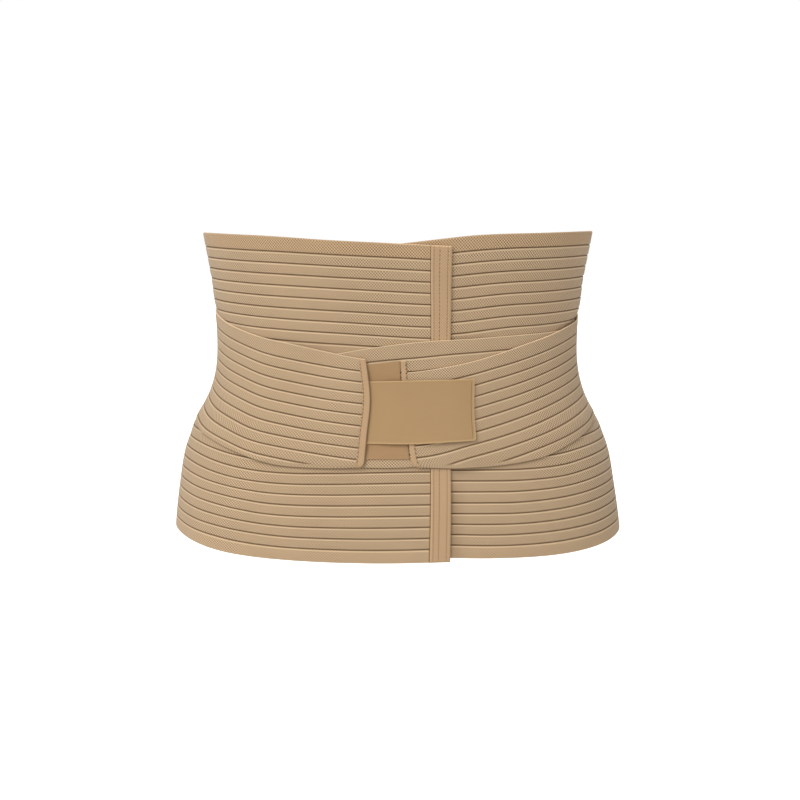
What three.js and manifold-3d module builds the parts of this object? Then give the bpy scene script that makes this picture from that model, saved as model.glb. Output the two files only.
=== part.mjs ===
// Lumbosacral brace: a tall belt of ribbed elastic worn round the waist and hips, with an inner strap,
// two tightening straps and a hook tab that closes over a loop patch at the front.
// Millimetres, +Z up. The origin is the middle of the waist, at the height where the belt is narrowest.
// The front faces -Y. Angles are degrees round +Z, zero at the front and growing towards +X.
import * as THREE from "three";
import loadManifold from "manifold-3d";

const { smoothstep, lerp, degToRad, radToDeg } = THREE.MathUtils;

// Cloth
const LAYER_GAP = 0.45;
const BELT = { thickness: 2.2, topHem: 10.8, bandPitch: 8.64, bands: 26, bottomHem: 10.4 };
const STRAP = { thickness: 1.8, topHem: 10.2, bandPitch: 8.6, bands: 10, bottomHem: 10 };
const INNER_STRAP = { thickness: 1.6, topHem: 12.4, bandPitch: 8.6, bands: 9, bottomHem: 9 };
const GROOVE = { depth: 0.8, width: 1.6 };
const BINDING_THICKNESS = 2.3;
const PATCH_THICKNESS = 0.9;
const TAB_THICKNESS = 1.1;
const ROW_SPACING = 14;
const CROWN = 0.05;

// Inner face of the belt, as rounded sections: a power of 2 is an ellipse and a higher one is squarer.
const BODY_SECTIONS = [
  { height: -175, halfWidth: 189.5, frontDepth: 133.5, backDepth: 137, power: 2.7 },
  { height: -151, halfWidth: 188.0, frontDepth: 132.5, backDepth: 136, power: 2.7 },
  { height: -115, halfWidth: 183.2, frontDepth: 129.5, backDepth: 131, power: 2.65 },
  { height: -85, halfWidth: 177.0, frontDepth: 124.0, backDepth: 123, power: 2.55 },
  { height: -60, halfWidth: 165.8, frontDepth: 117.5, backDepth: 112, power: 2.45 },
  { height: -35, halfWidth: 153.9, frontDepth: 112.0, backDepth: 102, power: 2.4 },
  { height: -15, halfWidth: 148.8, frontDepth: 109.5, backDepth: 97, power: 2.4 },
  { height: 10, halfWidth: 148.0, frontDepth: 108.5, backDepth: 96, power: 2.4 },
  { height: 50, halfWidth: 153.2, frontDepth: 110.0, backDepth: 102, power: 2.4 },
  { height: 96, halfWidth: 160.8, frontDepth: 114.0, backDepth: 110, power: 2.4 },
  { height: 115, halfWidth: 164.0, frontDepth: 115.5, backDepth: 113, power: 2.4 },
];

// Upper and lower edge of the belt, from its right end, round the back, to its lapped left end.
const BELT_EDGES = [
  { angle: -20, top: 86.0, bottom: -154.6 },
  { angle: 0, top: 88.2, bottom: -154.6 },
  { angle: 15, top: 91.4, bottom: -155.0 },
  { angle: 30, top: 94.6, bottom: -156.0 },
  { angle: 50, top: 96.0, bottom: -156.2 },
  { angle: 75, top: 97.2, bottom: -151.6 },
  { angle: 100, top: 96.2, bottom: -150.0 },
  { angle: 180, top: 86.0, bottom: -154.0 },
  { angle: 260, top: 95.2, bottom: -150.0 },
  { angle: 285, top: 95.7, bottom: -149.6 },
  { angle: 310, top: 93.7, bottom: -157.0 },
  { angle: 335, top: 90.6, bottom: -159.2 },
  { angle: 360, top: 88.0, bottom: -159.4 },
  { angle: 380, top: 86.1, bottom: -158.4 },
];

// Upper and lower edge of each strap. The lower edge is cut across the ribs, which follow the upper one.
const LEFT_STRAP_EDGES = [
  { angle: -155, top: 47, bottom: -49 },
  { angle: -110, top: 45, bottom: -50 },
  { angle: -90, top: 39, bottom: -56 },
  { angle: -75, top: 30.4, bottom: -64 },
  { angle: -65, top: 21.6, bottom: -70 },
  { angle: -52, top: 14.2, bottom: -79 },
  { angle: -40, top: 9.5, bottom: -86 },
  { angle: -28, top: 4.2, bottom: -87.5 },
  { angle: -17, top: -0.6, bottom: -87 },
  { angle: -8, top: -2.6, bottom: -85 },
];
const RIGHT_STRAP_EDGES = [
  { angle: -4, top: -13.6, bottom: -84.2 },
  { angle: 5, top: -12.4, bottom: -84.7 },
  { angle: 17, top: -9.1, bottom: -85.8 },
  { angle: 28, top: -4.1, bottom: -86 },
  { angle: 38, top: 2.2, bottom: -84.6 },
  { angle: 48, top: 9.0, bottom: -80 },
  { angle: 58, top: 15.6, bottom: -72.4 },
  { angle: 66, top: 20.6, bottom: -66.6 },
  { angle: 75, top: 26.8, bottom: -60 },
  { angle: 90, top: 35.4, bottom: -54 },
  { angle: 110, top: 43, bottom: -50 },
  { angle: 155, top: 47, bottom: -49 },
];
const INNER_STRAP_EDGES = [
  { angle: -32, top: -1.4, bottom: -84.5 },
  { angle: -23, top: 2.2, bottom: -84.8 },
  { angle: -13, top: 6.1, bottom: -85 },
  { angle: 1, top: 10.0, bottom: -84.8 },
  { angle: 13, top: 12.3, bottom: -84 },
  { angle: 30, top: 13.8, bottom: -82 },
  { angle: 45, top: 15.5, bottom: -75 },
  { angle: 60, top: 16.8, bottom: -66 },
  { angle: 76, top: 18.0, bottom: -55 },
];
const LOOP_PATCH_EDGES = [
  { angle: -18, top: -4.2, bottom: -79 },
  { angle: -11, top: -3.2, bottom: -79 },
  { angle: 1, top: -1.6, bottom: -78.8 },
  { angle: 6, top: -1.0, bottom: -78.6 },
];
const HOOK_TAB_EDGES = [
  { angle: -18, top: -18.8, bottom: -67.4 },
  { angle: -11, top: -18.6, bottom: -67.6 },
  { angle: 5, top: -18.2, bottom: -68.0 },
  { angle: 29, top: -17.5, bottom: -65.4 },
];

// Upright ends of the pieces, as an angle at each height, from the lowest row up.
const BELT_END = [
  { height: -158, angle: 370.9 },
  { height: -40, angle: 372.9 },
  { height: 87, angle: 373.2 },
];
const LEFT_STRAP_END = [
  { height: -85, angle: -14.4 },
  { height: -59, angle: -13.3 },
  { height: -33, angle: -12.1 },
  { height: -2, angle: -14.4 },
];
const RIGHT_STRAP_END = [
  { height: -85, angle: 6.3 },
  { height: -68, angle: 5.9 },
  { height: -2, angle: 3.5 },
];
const HOOK_TAB_END = [
  { height: -66, angle: 26.7 },
  { height: -17, angle: 28.8 },
];
const FRONT_BINDING_SPAN = 6.5;
const LEFT_BINDING_SPAN = 2.5;
const RIGHT_BINDING_SPAN = 1.9;
const RIGHT_BINDING_RISE = 11;
const END_GAP = 0.3;

// Angles between which a layer climbs over what lies under it, or comes down past its end.
const CLIMBS = {
  beltOverItself: { from: 310, to: 337 },
  innerStrapPastBeltEnd: { from: 30, to: 52 },
  rightStrapPastInnerStrap: { from: 76, to: 98 },
  tabOverRightStrap: { from: -12, to: 0 },
  leftStrapOverInnerStrap: { from: -58, to: -32 },
  leftStrapOverTab: { from: -36, to: -17 },
};

// Angles where the lean of an upright end fades out along its piece.
const BELT_LEAN_START = 350;
const LEFT_LEAN_START = -28;
const RIGHT_LEAN_STOP = 28;
const TAB_LEAN_START = 0;

// Round the body
const COLUMNS_PER_TURN = 32;
const COLUMN_RATIO = 1.42;
const COLUMN_CLEARANCE = 1.5;
const STRAP_BACK_END = 152;
const WASTE_OVERHANG = 4;
const NORMAL_PROBE = 0.2;

// Finishes
const FINISHES = {
  ribbed: { color: 0xb4997a, roughness: 0.9, metalness: 0 },
  binding: { color: 0xb59774, roughness: 0.85, metalness: 0 },
  hook: { color: 0xb4936a, roughness: 0.8, metalness: 0 },
  loop: { color: 0xad8b65, roughness: 0.95, metalness: 0 },
};

const wasm = await loadManifold();
wasm.setup();

/** Smooth curve through the named columns of a table, read at a value of its key column. */
function tableCurve(rows, key, names) {
  const keys = Float32Array.from(rows, (row) => row[key]);
  const values = Float32Array.from(rows.flatMap((row) => names.map((name) => row[name])));
  const curve = new THREE.CubicInterpolant(keys, values, names.length);
  return (at) => {
    const found = curve.evaluate(at);
    return Object.fromEntries(names.map((name, i) => [name, found[i]]));
  };
}

const edgeCurve = (rows) => tableCurve(rows, "angle", ["top", "bottom"]);
const endCurve = (rows) => tableCurve(rows, "height", ["angle"]);
const bodySection = tableCurve(BODY_SECTIONS, "height", ["halfWidth", "frontDepth", "backDepth", "power"]);

/** Point of the belt's inner face at an angle and a height. */
function bodyPoint(angle, height) {
  const { halfWidth, frontDepth, backDepth, power } = bodySection(height);
  const turn = degToRad(angle);
  const across = Math.sin(turn);
  const forward = Math.cos(turn);
  const depth = forward > 0 ? frontDepth : backDepth;
  const sum = Math.abs(across / halfWidth) ** power + Math.abs(forward / depth) ** power;
  const radius = sum ** (-1 / power);
  return new THREE.Vector3(radius * across, -radius * forward, height);
}

/** Point that stands off the belt's inner face by a lift, straight out from it. */
function liftedPoint(angle, height, lift) {
  const along = bodyPoint(angle + NORMAL_PROBE, height).sub(bodyPoint(angle - NORMAL_PROBE, height));
  const up = bodyPoint(angle, height + NORMAL_PROBE).sub(bodyPoint(angle, height - NORMAL_PROBE));
  const outward = along.cross(up).normalize();
  return bodyPoint(angle, height).addScaledVector(outward, lift);
}

/** Angle of a column of the shared grid: the columns are closer together where the sides curve more. */
function gridAngle(index, perTurn) {
  const turn = (index / perTurn) * 2 * Math.PI;
  const wrapped = Math.atan2(Math.sin(turn) * COLUMN_RATIO, Math.cos(turn));
  const turns = Math.round((turn - wrapped) / (2 * Math.PI));
  return radToDeg(wrapped) + turns * 360;
}

/** Columns of a piece: its two ends and the grid's columns between them. */
function columnsBetween(start, end, perTurn = COLUMNS_PER_TURN) {
  const columns = [start];
  for (let index = -perTurn; index <= 2 * perTurn; index += 1) {
    const angle = gridAngle(index, perTurn);
    if (angle > start + COLUMN_CLEARANCE && angle < end - COLUMN_CLEARANCE) columns.push(angle);
  }
  return [...columns, end];
}

/** Flat side of a section, from its lower edge up, a little fuller in the middle than at its edges. */
function bodySide(width) {
  const steps = Math.max(2, Math.round(width / ROW_SPACING));
  return Array.from({ length: steps + 1 }, (_, i) => {
    const share = i / steps;
    return new THREE.Vector2((share - 1) * width, -4 * CROWN * share * (1 - share));
  });
}

/** Section of plain cloth, with its upper edge at x = 0 and its body side near y = 0. */
function plainSection(width, thickness) {
  const outer = bodySide(width).map((corner) => new THREE.Vector2(corner.x, thickness - corner.y));
  return [...bodySide(width), ...outer.reverse()];
}

/** Section of ribbed elastic: a hem, equal bands and a hem, with a groove between each two. */
function ribbedSection({ thickness, topHem, bandPitch, bands, bottomHem }) {
  const width = topHem + bands * bandPitch + bottomHem;
  const outer = [new THREE.Vector2(0, thickness)];
  for (let band = 0; band <= bands; band += 1) {
    const middle = -topHem - band * bandPitch;
    outer.push(new THREE.Vector2(middle + GROOVE.width / 2, thickness));
    outer.push(new THREE.Vector2(middle, thickness - GROOVE.depth));
    outer.push(new THREE.Vector2(middle - GROOVE.width / 2, thickness));
  }
  outer.push(new THREE.Vector2(-width, thickness));
  return { section: [...bodySide(width), ...outer], width };
}

/** Triangles that close an end of a strip, in a zigzag up between its body side and its outer side. */
function endFaces(section) {
  const faces = [];
  let body = 0;
  let outer = section.length - 1;
  while (outer - body > 1) {
    if (section[body + 1].x <= section[outer - 1].x) {
      faces.push([body, body + 1, outer]);
      body += 1;
    } else {
      faces.push([body, outer - 1, outer]);
      outer -= 1;
    }
  }
  return faces;
}

/** Strip of cloth: a section repeated at each column, with every corner placed by lay(angle, rise, lift). */
function wrappedStrip(section, columns, lay) {
  const count = section.length;
  const corners = columns.flatMap((angle) => section.map(({ x, y }) => lay(angle, x, y)));
  const last = (columns.length - 1) * count;
  const faces = endFaces(section).flatMap((face) => [face.toReversed(), face.map((i) => i + last)]);
  for (let before = 0; before < last; before += count) {
    for (let i = 0; i < count; i += 1) {
      const next = (i + 1) % count;
      const here = before + count;
      faces.push([before + i, before + next, here + next], [before + i, here + next, here + i]);
    }
  }
  const strip = new THREE.BufferGeometry().setFromPoints(corners);
  strip.setIndex(faces.flat());
  return strip;
}

/** Solid of a closed geometry, for joining and cutting. */
function solidOf(geometry) {
  const vertProperties = new Float32Array(geometry.getAttribute("position").array);
  const triVerts = new Uint32Array(geometry.getIndex().array);
  return new wasm.Manifold(new wasm.Mesh({ numProp: 3, vertProperties, triVerts }));
}

/** Geometry with everything taken away that lies inside a second geometry. */
function cutAway(geometry, cutter) {
  const mesh = solidOf(geometry).subtract(solidOf(cutter)).getMesh();
  const cut = new THREE.BufferGeometry();
  cut.setAttribute("position", new THREE.BufferAttribute(mesh.vertProperties, mesh.numProp));
  cut.setIndex(new THREE.BufferAttribute(mesh.triVerts, 1));
  return cut;
}

/** Named mesh with one of the finishes. */
function piece(name, geometry, finish) {
  geometry.computeVertexNormals();
  const mesh = new THREE.Mesh(geometry, new THREE.MeshStandardMaterial(FINISHES[finish]));
  mesh.name = name;
  return mesh;
}

// Lifts: how far the body side of each layer stands off the belt's inner face at an angle

const overBelt = BELT.thickness + LAYER_GAP;
const overInnerStrap = INNER_STRAP.thickness + LAYER_GAP;
const overPatch = PATCH_THICKNESS + LAYER_GAP;
const overTab = TAB_THICKNESS + LAYER_GAP;

/** How much of a climb is behind at an angle, from 0 before it to 1 past it. */
function climbed(angle, { from, to }) {
  return smoothstep(angle, from, to);
}

/** The left end of the belt climbs over its right end. */
function beltLift(angle) {
  return overBelt * climbed(angle, CLIMBS.beltOverItself);
}

/** The inner strap lies over the lapped belt and comes down to the right half past the belt's end. */
function innerStrapLift(angle) {
  return overBelt + (overBelt + LAYER_GAP) * (1 - climbed(angle, CLIMBS.innerStrapPastBeltEnd));
}

/** The right strap lies on the inner strap, and on the belt behind the inner strap's end. */
function rightStrapLift(angle) {
  return innerStrapLift(angle) + overInnerStrap * (1 - climbed(angle, CLIMBS.rightStrapPastInnerStrap));
}

/** The hook tab leaves the loop patch and climbs over the end of the right strap. */
function hookTabLift(angle) {
  const onPatch = innerStrapLift(0) + overInnerStrap + overPatch;
  const onStrap = rightStrapLift(angle) + BINDING_THICKNESS + LAYER_GAP;
  return lerp(onPatch, onStrap, climbed(angle, CLIMBS.tabOverRightStrap));
}

/** The left strap climbs over the lapped belt, the inner strap, the loop patch and the hook tab. */
function leftStrapLift(angle) {
  const onInnerStrap = innerStrapLift(0) + overInnerStrap;
  const lowPart = lerp(overBelt, onInnerStrap, climbed(angle, CLIMBS.leftStrapOverInnerStrap));
  return lowPart + (overPatch + overTab + LAYER_GAP) * climbed(angle, CLIMBS.leftStrapOverTab);
}

// Pieces

const beltEdges = edgeCurve(BELT_EDGES);
const beltEnd = endCurve(BELT_END);
const beltStart = gridAngle(-1, COLUMNS_PER_TURN);
const beltReach = BELT_END.at(-1).angle;

/** Places a point of the belt, or of the binding beyond it, at a share of the way down from its top. */
function layBelt(angle, share, lift) {
  const { top, bottom } = beltEdges(angle);
  const height = lerp(top, bottom, share);
  const lean = (beltEnd(height).angle - beltReach) * smoothstep(angle, BELT_LEAN_START, beltReach);
  return liftedPoint(angle + lean, height, beltLift(angle) + lift);
}

function makeMainBelt() {
  const { section, width } = ribbedSection(BELT);
  const lay = (angle, rise, lift) => layBelt(angle, -rise / width, lift);
  return wrappedStrip(section, columnsBetween(beltStart, beltReach), lay);
}

function makeFrontBinding() {
  const { width } = ribbedSection(BELT);
  const lay = (angle, rise, lift) => layBelt(angle, -rise / width, lift);
  const start = beltReach + END_GAP;
  const columns = [start, start + FRONT_BINDING_SPAN / 2, start + FRONT_BINDING_SPAN];
  return wrappedStrip(plainSection(width, BINDING_THICKNESS), columns, lay);
}

/** Ribbed strap whose ribs follow its upper edge, with the cloth below its lower edge cut away. */
function ribbedStrap(cloth, columns, edges, lift, endLean) {
  const { section, width } = ribbedSection(cloth);
  const strip = wrappedStrip(section, columns, (angle, rise, stand) => {
    const height = edges(angle).top + rise;
    return liftedPoint(angle + endLean(angle, height), height, lift(angle) + stand);
  });
  const reach = 2 * cloth.thickness;
  const waste = plainSection(width, 2 * reach + cloth.thickness);
  const wasteStart = columns[0] - WASTE_OVERHANG;
  const wasteEnd = columns.at(-1) + WASTE_OVERHANG;
  const wasteColumns = [wasteStart, ...columns.slice(1, -1), wasteEnd];
  const cutter = wrappedStrip(waste, wasteColumns, (angle, rise, stand) => {
    return liftedPoint(angle, edges(angle).bottom + rise, lift(angle) + stand - reach);
  });
  return cutAway(strip, cutter);
}

const leftEdges = edgeCurve(LEFT_STRAP_EDGES);
const leftEnd = endCurve(LEFT_STRAP_END);
const leftReach = LEFT_STRAP_END.at(-1).angle;

/** How far the front end of the left strap bulges at a height, fading out along the strap. */
function leftLean(angle, height) {
  return (leftEnd(height).angle - leftReach) * smoothstep(angle, LEFT_LEAN_START, leftReach);
}

const rightEdges = edgeCurve(RIGHT_STRAP_EDGES);
const rightEnd = endCurve(RIGHT_STRAP_END);
const rightReach = RIGHT_STRAP_END.at(-1).angle;

/** How far the front end of the right strap slants at a height, fading out along the strap. */
function rightLean(angle, height) {
  return (rightEnd(height).angle - rightReach) * (1 - smoothstep(angle, rightReach, RIGHT_LEAN_STOP));
}

function makeLeftStrap() {
  const topOfClimb = gridAngle(-1.5, COLUMNS_PER_TURN);
  const columns = [...columnsBetween(-STRAP_BACK_END, topOfClimb), leftReach];
  return ribbedStrap(STRAP, columns, leftEdges, leftStrapLift, leftLean);
}

function makeRightStrap() {
  const columns = columnsBetween(rightReach, STRAP_BACK_END);
  return ribbedStrap(STRAP, columns, rightEdges, rightStrapLift, rightLean);
}

function makeInnerStrap() {
  const columns = columnsBetween(gridAngle(-2, COLUMNS_PER_TURN), gridAngle(6, COLUMNS_PER_TURN));
  return ribbedStrap(INNER_STRAP, columns, edgeCurve(INNER_STRAP_EDGES), innerStrapLift, () => 0);
}

/** Plain strip between two edges, drawn through the columns, with its upper edge raised by an extra. */
function plainStrip(thickness, columns, edges, lift, endLean, extra = 0) {
  const { top, bottom } = edges(columns[0]);
  const width = top + extra - bottom;
  return wrappedStrip(plainSection(width, thickness), columns, (angle, rise, stand) => {
    const here = edges(angle);
    const height = lerp(here.top + extra, here.bottom, -rise / width);
    return liftedPoint(angle + endLean(angle, height), height, lift(angle) + stand);
  });
}

function makeLeftStrapBinding() {
  const start = leftReach + END_GAP;
  const columns = [start, start + LEFT_BINDING_SPAN];
  const lift = () => leftStrapLift(leftReach);
  return plainStrip(BINDING_THICKNESS, columns, leftEdges, lift, leftLean);
}

function makeRightStrapBinding() {
  const end = rightReach - END_GAP;
  const columns = [end - RIGHT_BINDING_SPAN, end];
  const lift = () => rightStrapLift(rightReach);
  return plainStrip(BINDING_THICKNESS, columns, rightEdges, lift, rightLean, RIGHT_BINDING_RISE);
}

function makeLoopPatch() {
  const start = gridAngle(-1, COLUMNS_PER_TURN);
  const end = rightReach - RIGHT_BINDING_SPAN - 2 * END_GAP;
  const columns = columnsBetween(start, end, 2 * COLUMNS_PER_TURN);
  const slant = (angle, height) => rightLean(rightReach, height) * smoothstep(angle, start, end);
  const lift = (angle) => innerStrapLift(angle) + overInnerStrap;
  return plainStrip(PATCH_THICKNESS, columns, edgeCurve(LOOP_PATCH_EDGES), lift, slant);
}

function makeHookTab() {
  const tabEnd = endCurve(HOOK_TAB_END);
  const start = gridAngle(-1, COLUMNS_PER_TURN);
  const reach = HOOK_TAB_END.at(-1).angle;
  const columns = columnsBetween(start, reach, 2 * COLUMNS_PER_TURN);
  const slant = (angle, height) => (tabEnd(height).angle - reach) * smoothstep(angle, TAB_LEAN_START, reach);
  return plainStrip(TAB_THICKNESS, columns, edgeCurve(HOOK_TAB_EDGES), hookTabLift, slant);
}

const brace = new THREE.Group();
brace.add(piece("main_belt", makeMainBelt(), "ribbed"));
brace.add(piece("front_binding", makeFrontBinding(), "binding"));
brace.add(piece("inner_strap", makeInnerStrap(), "ribbed"));
brace.add(piece("loop_patch", makeLoopPatch(), "loop"));
brace.add(piece("right_strap", makeRightStrap(), "ribbed"));
brace.add(piece("right_strap_binding", makeRightStrapBinding(), "binding"));
brace.add(piece("left_strap", makeLeftStrap(), "ribbed"));
brace.add(piece("left_strap_binding", makeLeftStrapBinding(), "binding"));
brace.add(piece("hook_tab", makeHookTab(), "hook"));

export default brace;
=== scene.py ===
"""Looks of the lumbosacral brace: a ribbed elastic belt with straps, bindings, a loop patch and a hook tab.

Metres, +Z up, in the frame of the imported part, whose origin is the middle of the waist. The front faces -Y.
Angles are degrees round +Z, zero at the front and growing towards +X. Left and right are the viewer's.
"""

import logging
import math
from collections.abc import Callable, Sequence
from dataclasses import astuple, dataclass
from enum import Enum

import bmesh
import bpy
import numpy as np
from mathutils import Matrix, Vector


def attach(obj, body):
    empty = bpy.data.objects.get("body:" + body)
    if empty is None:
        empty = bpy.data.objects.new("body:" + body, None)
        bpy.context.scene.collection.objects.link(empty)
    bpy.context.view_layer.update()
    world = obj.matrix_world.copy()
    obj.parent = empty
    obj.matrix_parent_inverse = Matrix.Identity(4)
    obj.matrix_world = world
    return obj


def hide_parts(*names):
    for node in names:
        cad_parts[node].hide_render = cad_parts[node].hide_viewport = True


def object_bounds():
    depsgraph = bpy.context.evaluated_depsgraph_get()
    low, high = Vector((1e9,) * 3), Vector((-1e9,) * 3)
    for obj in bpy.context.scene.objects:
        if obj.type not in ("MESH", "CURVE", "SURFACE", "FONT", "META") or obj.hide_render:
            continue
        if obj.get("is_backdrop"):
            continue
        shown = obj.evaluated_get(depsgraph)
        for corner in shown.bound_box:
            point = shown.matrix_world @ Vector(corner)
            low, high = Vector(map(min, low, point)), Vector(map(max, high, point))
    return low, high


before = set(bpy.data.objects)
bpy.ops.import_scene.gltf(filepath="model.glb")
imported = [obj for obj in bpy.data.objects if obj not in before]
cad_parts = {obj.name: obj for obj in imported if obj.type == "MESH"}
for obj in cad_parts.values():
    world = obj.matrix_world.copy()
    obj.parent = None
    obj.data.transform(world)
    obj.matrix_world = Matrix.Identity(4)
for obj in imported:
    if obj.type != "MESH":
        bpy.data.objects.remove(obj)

Array = np.ndarray
Run = tuple[float, float]
Lift = Callable[[Array], Array]
Lean = Callable[[Array, Array], Array]

CLOTH_MAP = "cloth"
# Point attribute of painted shade in grooves, seams and beside edges, with painted highlight below zero on
# lips, rims and edges.
PAINTED_SHADING = "crease"
HEM = "hem"
BODY_NAME = "root"

FULL_TURN = 360.0
HALF_TURN = 180.0
COURSE_PROBES = 3000
STATION_DIGITS = 6
MERGE_DISTANCE = 1e-6
SHARP_ANGLE = 55.0

log = logging.getLogger("brace")


# Tables and the body

@dataclass(frozen=True)
class Section:
    """Rounded section of the belt's inner face: a power of 2 is an ellipse and a higher one is squarer."""

    height: float
    half_width: float
    front_depth: float
    back_depth: float
    power: float


@dataclass(frozen=True)
class Edges:
    """Heights of a piece's upper and lower edge at an angle."""

    angle: float
    top: float
    bottom: float


@dataclass(frozen=True)
class RibPull:
    """How far a strap's ribs are pulled down at an angle, and how much further apart they are."""

    angle: float
    shift: float
    stretch: float


@dataclass(frozen=True)
class HipPull:
    """How far the belt's ribs on the hips are pulled up at an angle, high, half-way and low on the hips."""

    angle: float
    high: float
    middle: float
    low: float


@dataclass(frozen=True)
class Sway:
    """How far the sides of the worn shape lean to the right at a height, and how much wider they are."""

    height: float
    shift: float
    widening: float


@dataclass(frozen=True)
class Swell:
    """Waves of worn cloth: how many go round the body, their slant, where they start and their share."""

    around: float
    slant: float
    start: float
    share: float


@dataclass(frozen=True)
class EndPoint:
    """Angle of a piece's upright end at a height."""

    height: float
    angle: float


BODY_SECTIONS = (
    Section(-0.175, 0.1895, 0.1335, 0.137, 2.7),
    Section(-0.151, 0.1880, 0.1325, 0.136, 2.7),
    Section(-0.115, 0.1832, 0.1295, 0.131, 2.65),
    Section(-0.085, 0.1770, 0.1240, 0.123, 2.55),
    Section(-0.060, 0.1658, 0.1175, 0.112, 2.45),
    Section(-0.035, 0.1539, 0.1120, 0.102, 2.4),
    Section(-0.015, 0.1488, 0.1095, 0.097, 2.4),
    Section(0.010, 0.1480, 0.1085, 0.096, 2.4),
    Section(0.050, 0.1532, 0.1100, 0.102, 2.4),
    Section(0.096, 0.1608, 0.1140, 0.110, 2.4),
    Section(0.115, 0.1640, 0.1155, 0.113, 2.4),
)
BELT_EDGES = (
    Edges(-20, 0.0852, -0.1552),
    Edges(0, 0.0880, -0.1555),
    Edges(15, 0.0914, -0.1559),
    Edges(30, 0.0948, -0.1571),
    Edges(50, 0.0963, -0.1573),
    Edges(75, 0.0974, -0.1525),
    Edges(100, 0.0962, -0.1505),
    Edges(180, 0.0835, -0.1540),
    Edges(260, 0.0952, -0.1500),
    Edges(285, 0.0960, -0.1496),
    Edges(310, 0.0944, -0.1570),
    Edges(335, 0.0911, -0.1592),
    Edges(360, 0.0886, -0.1597),
    Edges(380, 0.0866, -0.1588),
)
LEFT_STRAP_EDGES = (
    Edges(-155, 0.0458, -0.0490),
    Edges(-110, 0.0402, -0.0500),
    Edges(-90, 0.0336, -0.0560),
    Edges(-75, 0.0277, -0.0640),
    Edges(-65, 0.0216, -0.0700),
    Edges(-52, 0.0142, -0.0790),
    Edges(-40, 0.0095, -0.0860),
    Edges(-28, 0.0042, -0.0875),
    Edges(-17, -0.0006, -0.0870),
    Edges(-8, -0.0026, -0.0850),
)
RIGHT_STRAP_EDGES = (
    Edges(-4, -0.0136, -0.0856),
    Edges(5, -0.0124, -0.0867),
    Edges(17, -0.0091, -0.0874),
    Edges(28, -0.0046, -0.0869),
    Edges(38, 0.0013, -0.0851),
    Edges(48, 0.0083, -0.0811),
    Edges(58, 0.0145, -0.0730),
    Edges(66, 0.0194, -0.0666),
    Edges(75, 0.0240, -0.0600),
    Edges(90, 0.0290, -0.0540),
    Edges(110, 0.0355, -0.0500),
    Edges(155, 0.0450, -0.0490),
)
INNER_STRAP_EDGES = (
    Edges(-32, -0.0014, -0.0848),
    Edges(-23, 0.0022, -0.0855),
    Edges(-13, 0.0061, -0.0865),
    Edges(1, 0.0100, -0.0866),
    Edges(13, 0.0123, -0.0846),
    Edges(30, 0.0138, -0.0820),
    Edges(45, 0.0155, -0.0750),
    Edges(60, 0.0168, -0.0660),
    Edges(76, 0.0180, -0.0550),
)
LOOP_PATCH_EDGES = (
    Edges(-18, -0.0086, -0.0804),
    Edges(-11, -0.0064, -0.0804),
    Edges(1, -0.0033, -0.0802),
    Edges(6, -0.0022, -0.0800),
)
HOOK_TAB_EDGES = (
    Edges(-18, -0.0198, -0.0684),
    Edges(-11, -0.0197, -0.0687),
    Edges(5, -0.0190, -0.0693),
    Edges(29, -0.0181, -0.0673),
)
BELT_END = (
    EndPoint(-0.158, 371.2),
    EndPoint(-0.090, 372.2),
    EndPoint(-0.040, 373.2),
    EndPoint(0.010, 374.0),
    EndPoint(0.087, 373.4),
)
LEFT_STRAP_END = (
    EndPoint(-0.085, -13.55),
    EndPoint(-0.059, -12.85),
    EndPoint(-0.033, -12.35),
    EndPoint(-0.002, -14.25),
)
RIGHT_STRAP_END = (
    EndPoint(-0.0868, 8.3),
    EndPoint(-0.0852, 7.45),
    EndPoint(-0.0826, 6.75),
    EndPoint(-0.079, 6.4),
    EndPoint(-0.0718, 5.9),
    EndPoint(-0.027, 3.6),
    EndPoint(-0.002, 2.9),
)
LEFT_RIB_PULL = (
    RibPull(-155, -0.0005, -0.012),
    RibPull(-75, -0.0007, -0.018),
    RibPull(-58, -0.0007, -0.020),
    RibPull(-45, 0.0002, 0.002),
    RibPull(-29, -0.0004, 0.001),
    RibPull(-17, -0.0018, 0.000),
    RibPull(-8, -0.0020, 0.000),
)
RIGHT_RIB_PULL = (
    RibPull(-4, 0.0009, 0.0),
    RibPull(14, 0.0003, 0.0),
    RibPull(26, -0.0009, -0.006),
    RibPull(36, -0.0009, -0.010),
    RibPull(48, 0.0006, -0.030),
    RibPull(60, 0.0003, -0.041),
    RibPull(155, 0.0, -0.020),
)
INNER_RIB_PULL = (
    RibPull(-32, -0.0018, 0.0),
    RibPull(-13, -0.0014, 0.0),
    RibPull(1, -0.0004, 0.0),
    RibPull(10, 0.0, 0.0),
    RibPull(17, -0.0005, 0.0),
    RibPull(24, -0.0012, 0.0),
    RibPull(76, -0.0014, 0.0),
)
HIP_PULL = (
    HipPull(20, 0.0003, 0.0, 0.0005),
    HipPull(30, -0.0002, -0.0002, 0.0001),
    HipPull(36, -0.0006, -0.0005, 0.0001),
    HipPull(48, -0.0006, 0.0003, 0.0006),
    HipPull(54, -0.0002, 0.0008, 0.0008),
    HipPull(61, 0.0011, 0.0013, 0.0006),
    HipPull(69, 0.0018, 0.0018, 0.0010),
    HipPull(80, 0.0012, 0.0012, 0.0006),
    HipPull(110, 0.0, 0.0, 0.0),
    HipPull(250, 0.0, 0.0, 0.0),
    HipPull(280, 0.0010, 0.0010, 0.0),
    HipPull(290, 0.0012, 0.0011, 0.0002),
    HipPull(298, 0.0003, 0.0010, 0.0006),
    HipPull(305, -0.0007, 0.0011, 0.0012),
    HipPull(312, -0.0015, 0.0004, 0.0009),
    HipPull(318, -0.0018, -0.0004, 0.0005),
    HipPull(327, -0.0014, -0.0003, 0.0001),
    HipPull(336, -0.0002, 0.0004, 0.0004),
    HipPull(346, 0.0007, 0.0011, 0.0006),
    HipPull(374, 0.0004, 0.0009, 0.0006),
)
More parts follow.
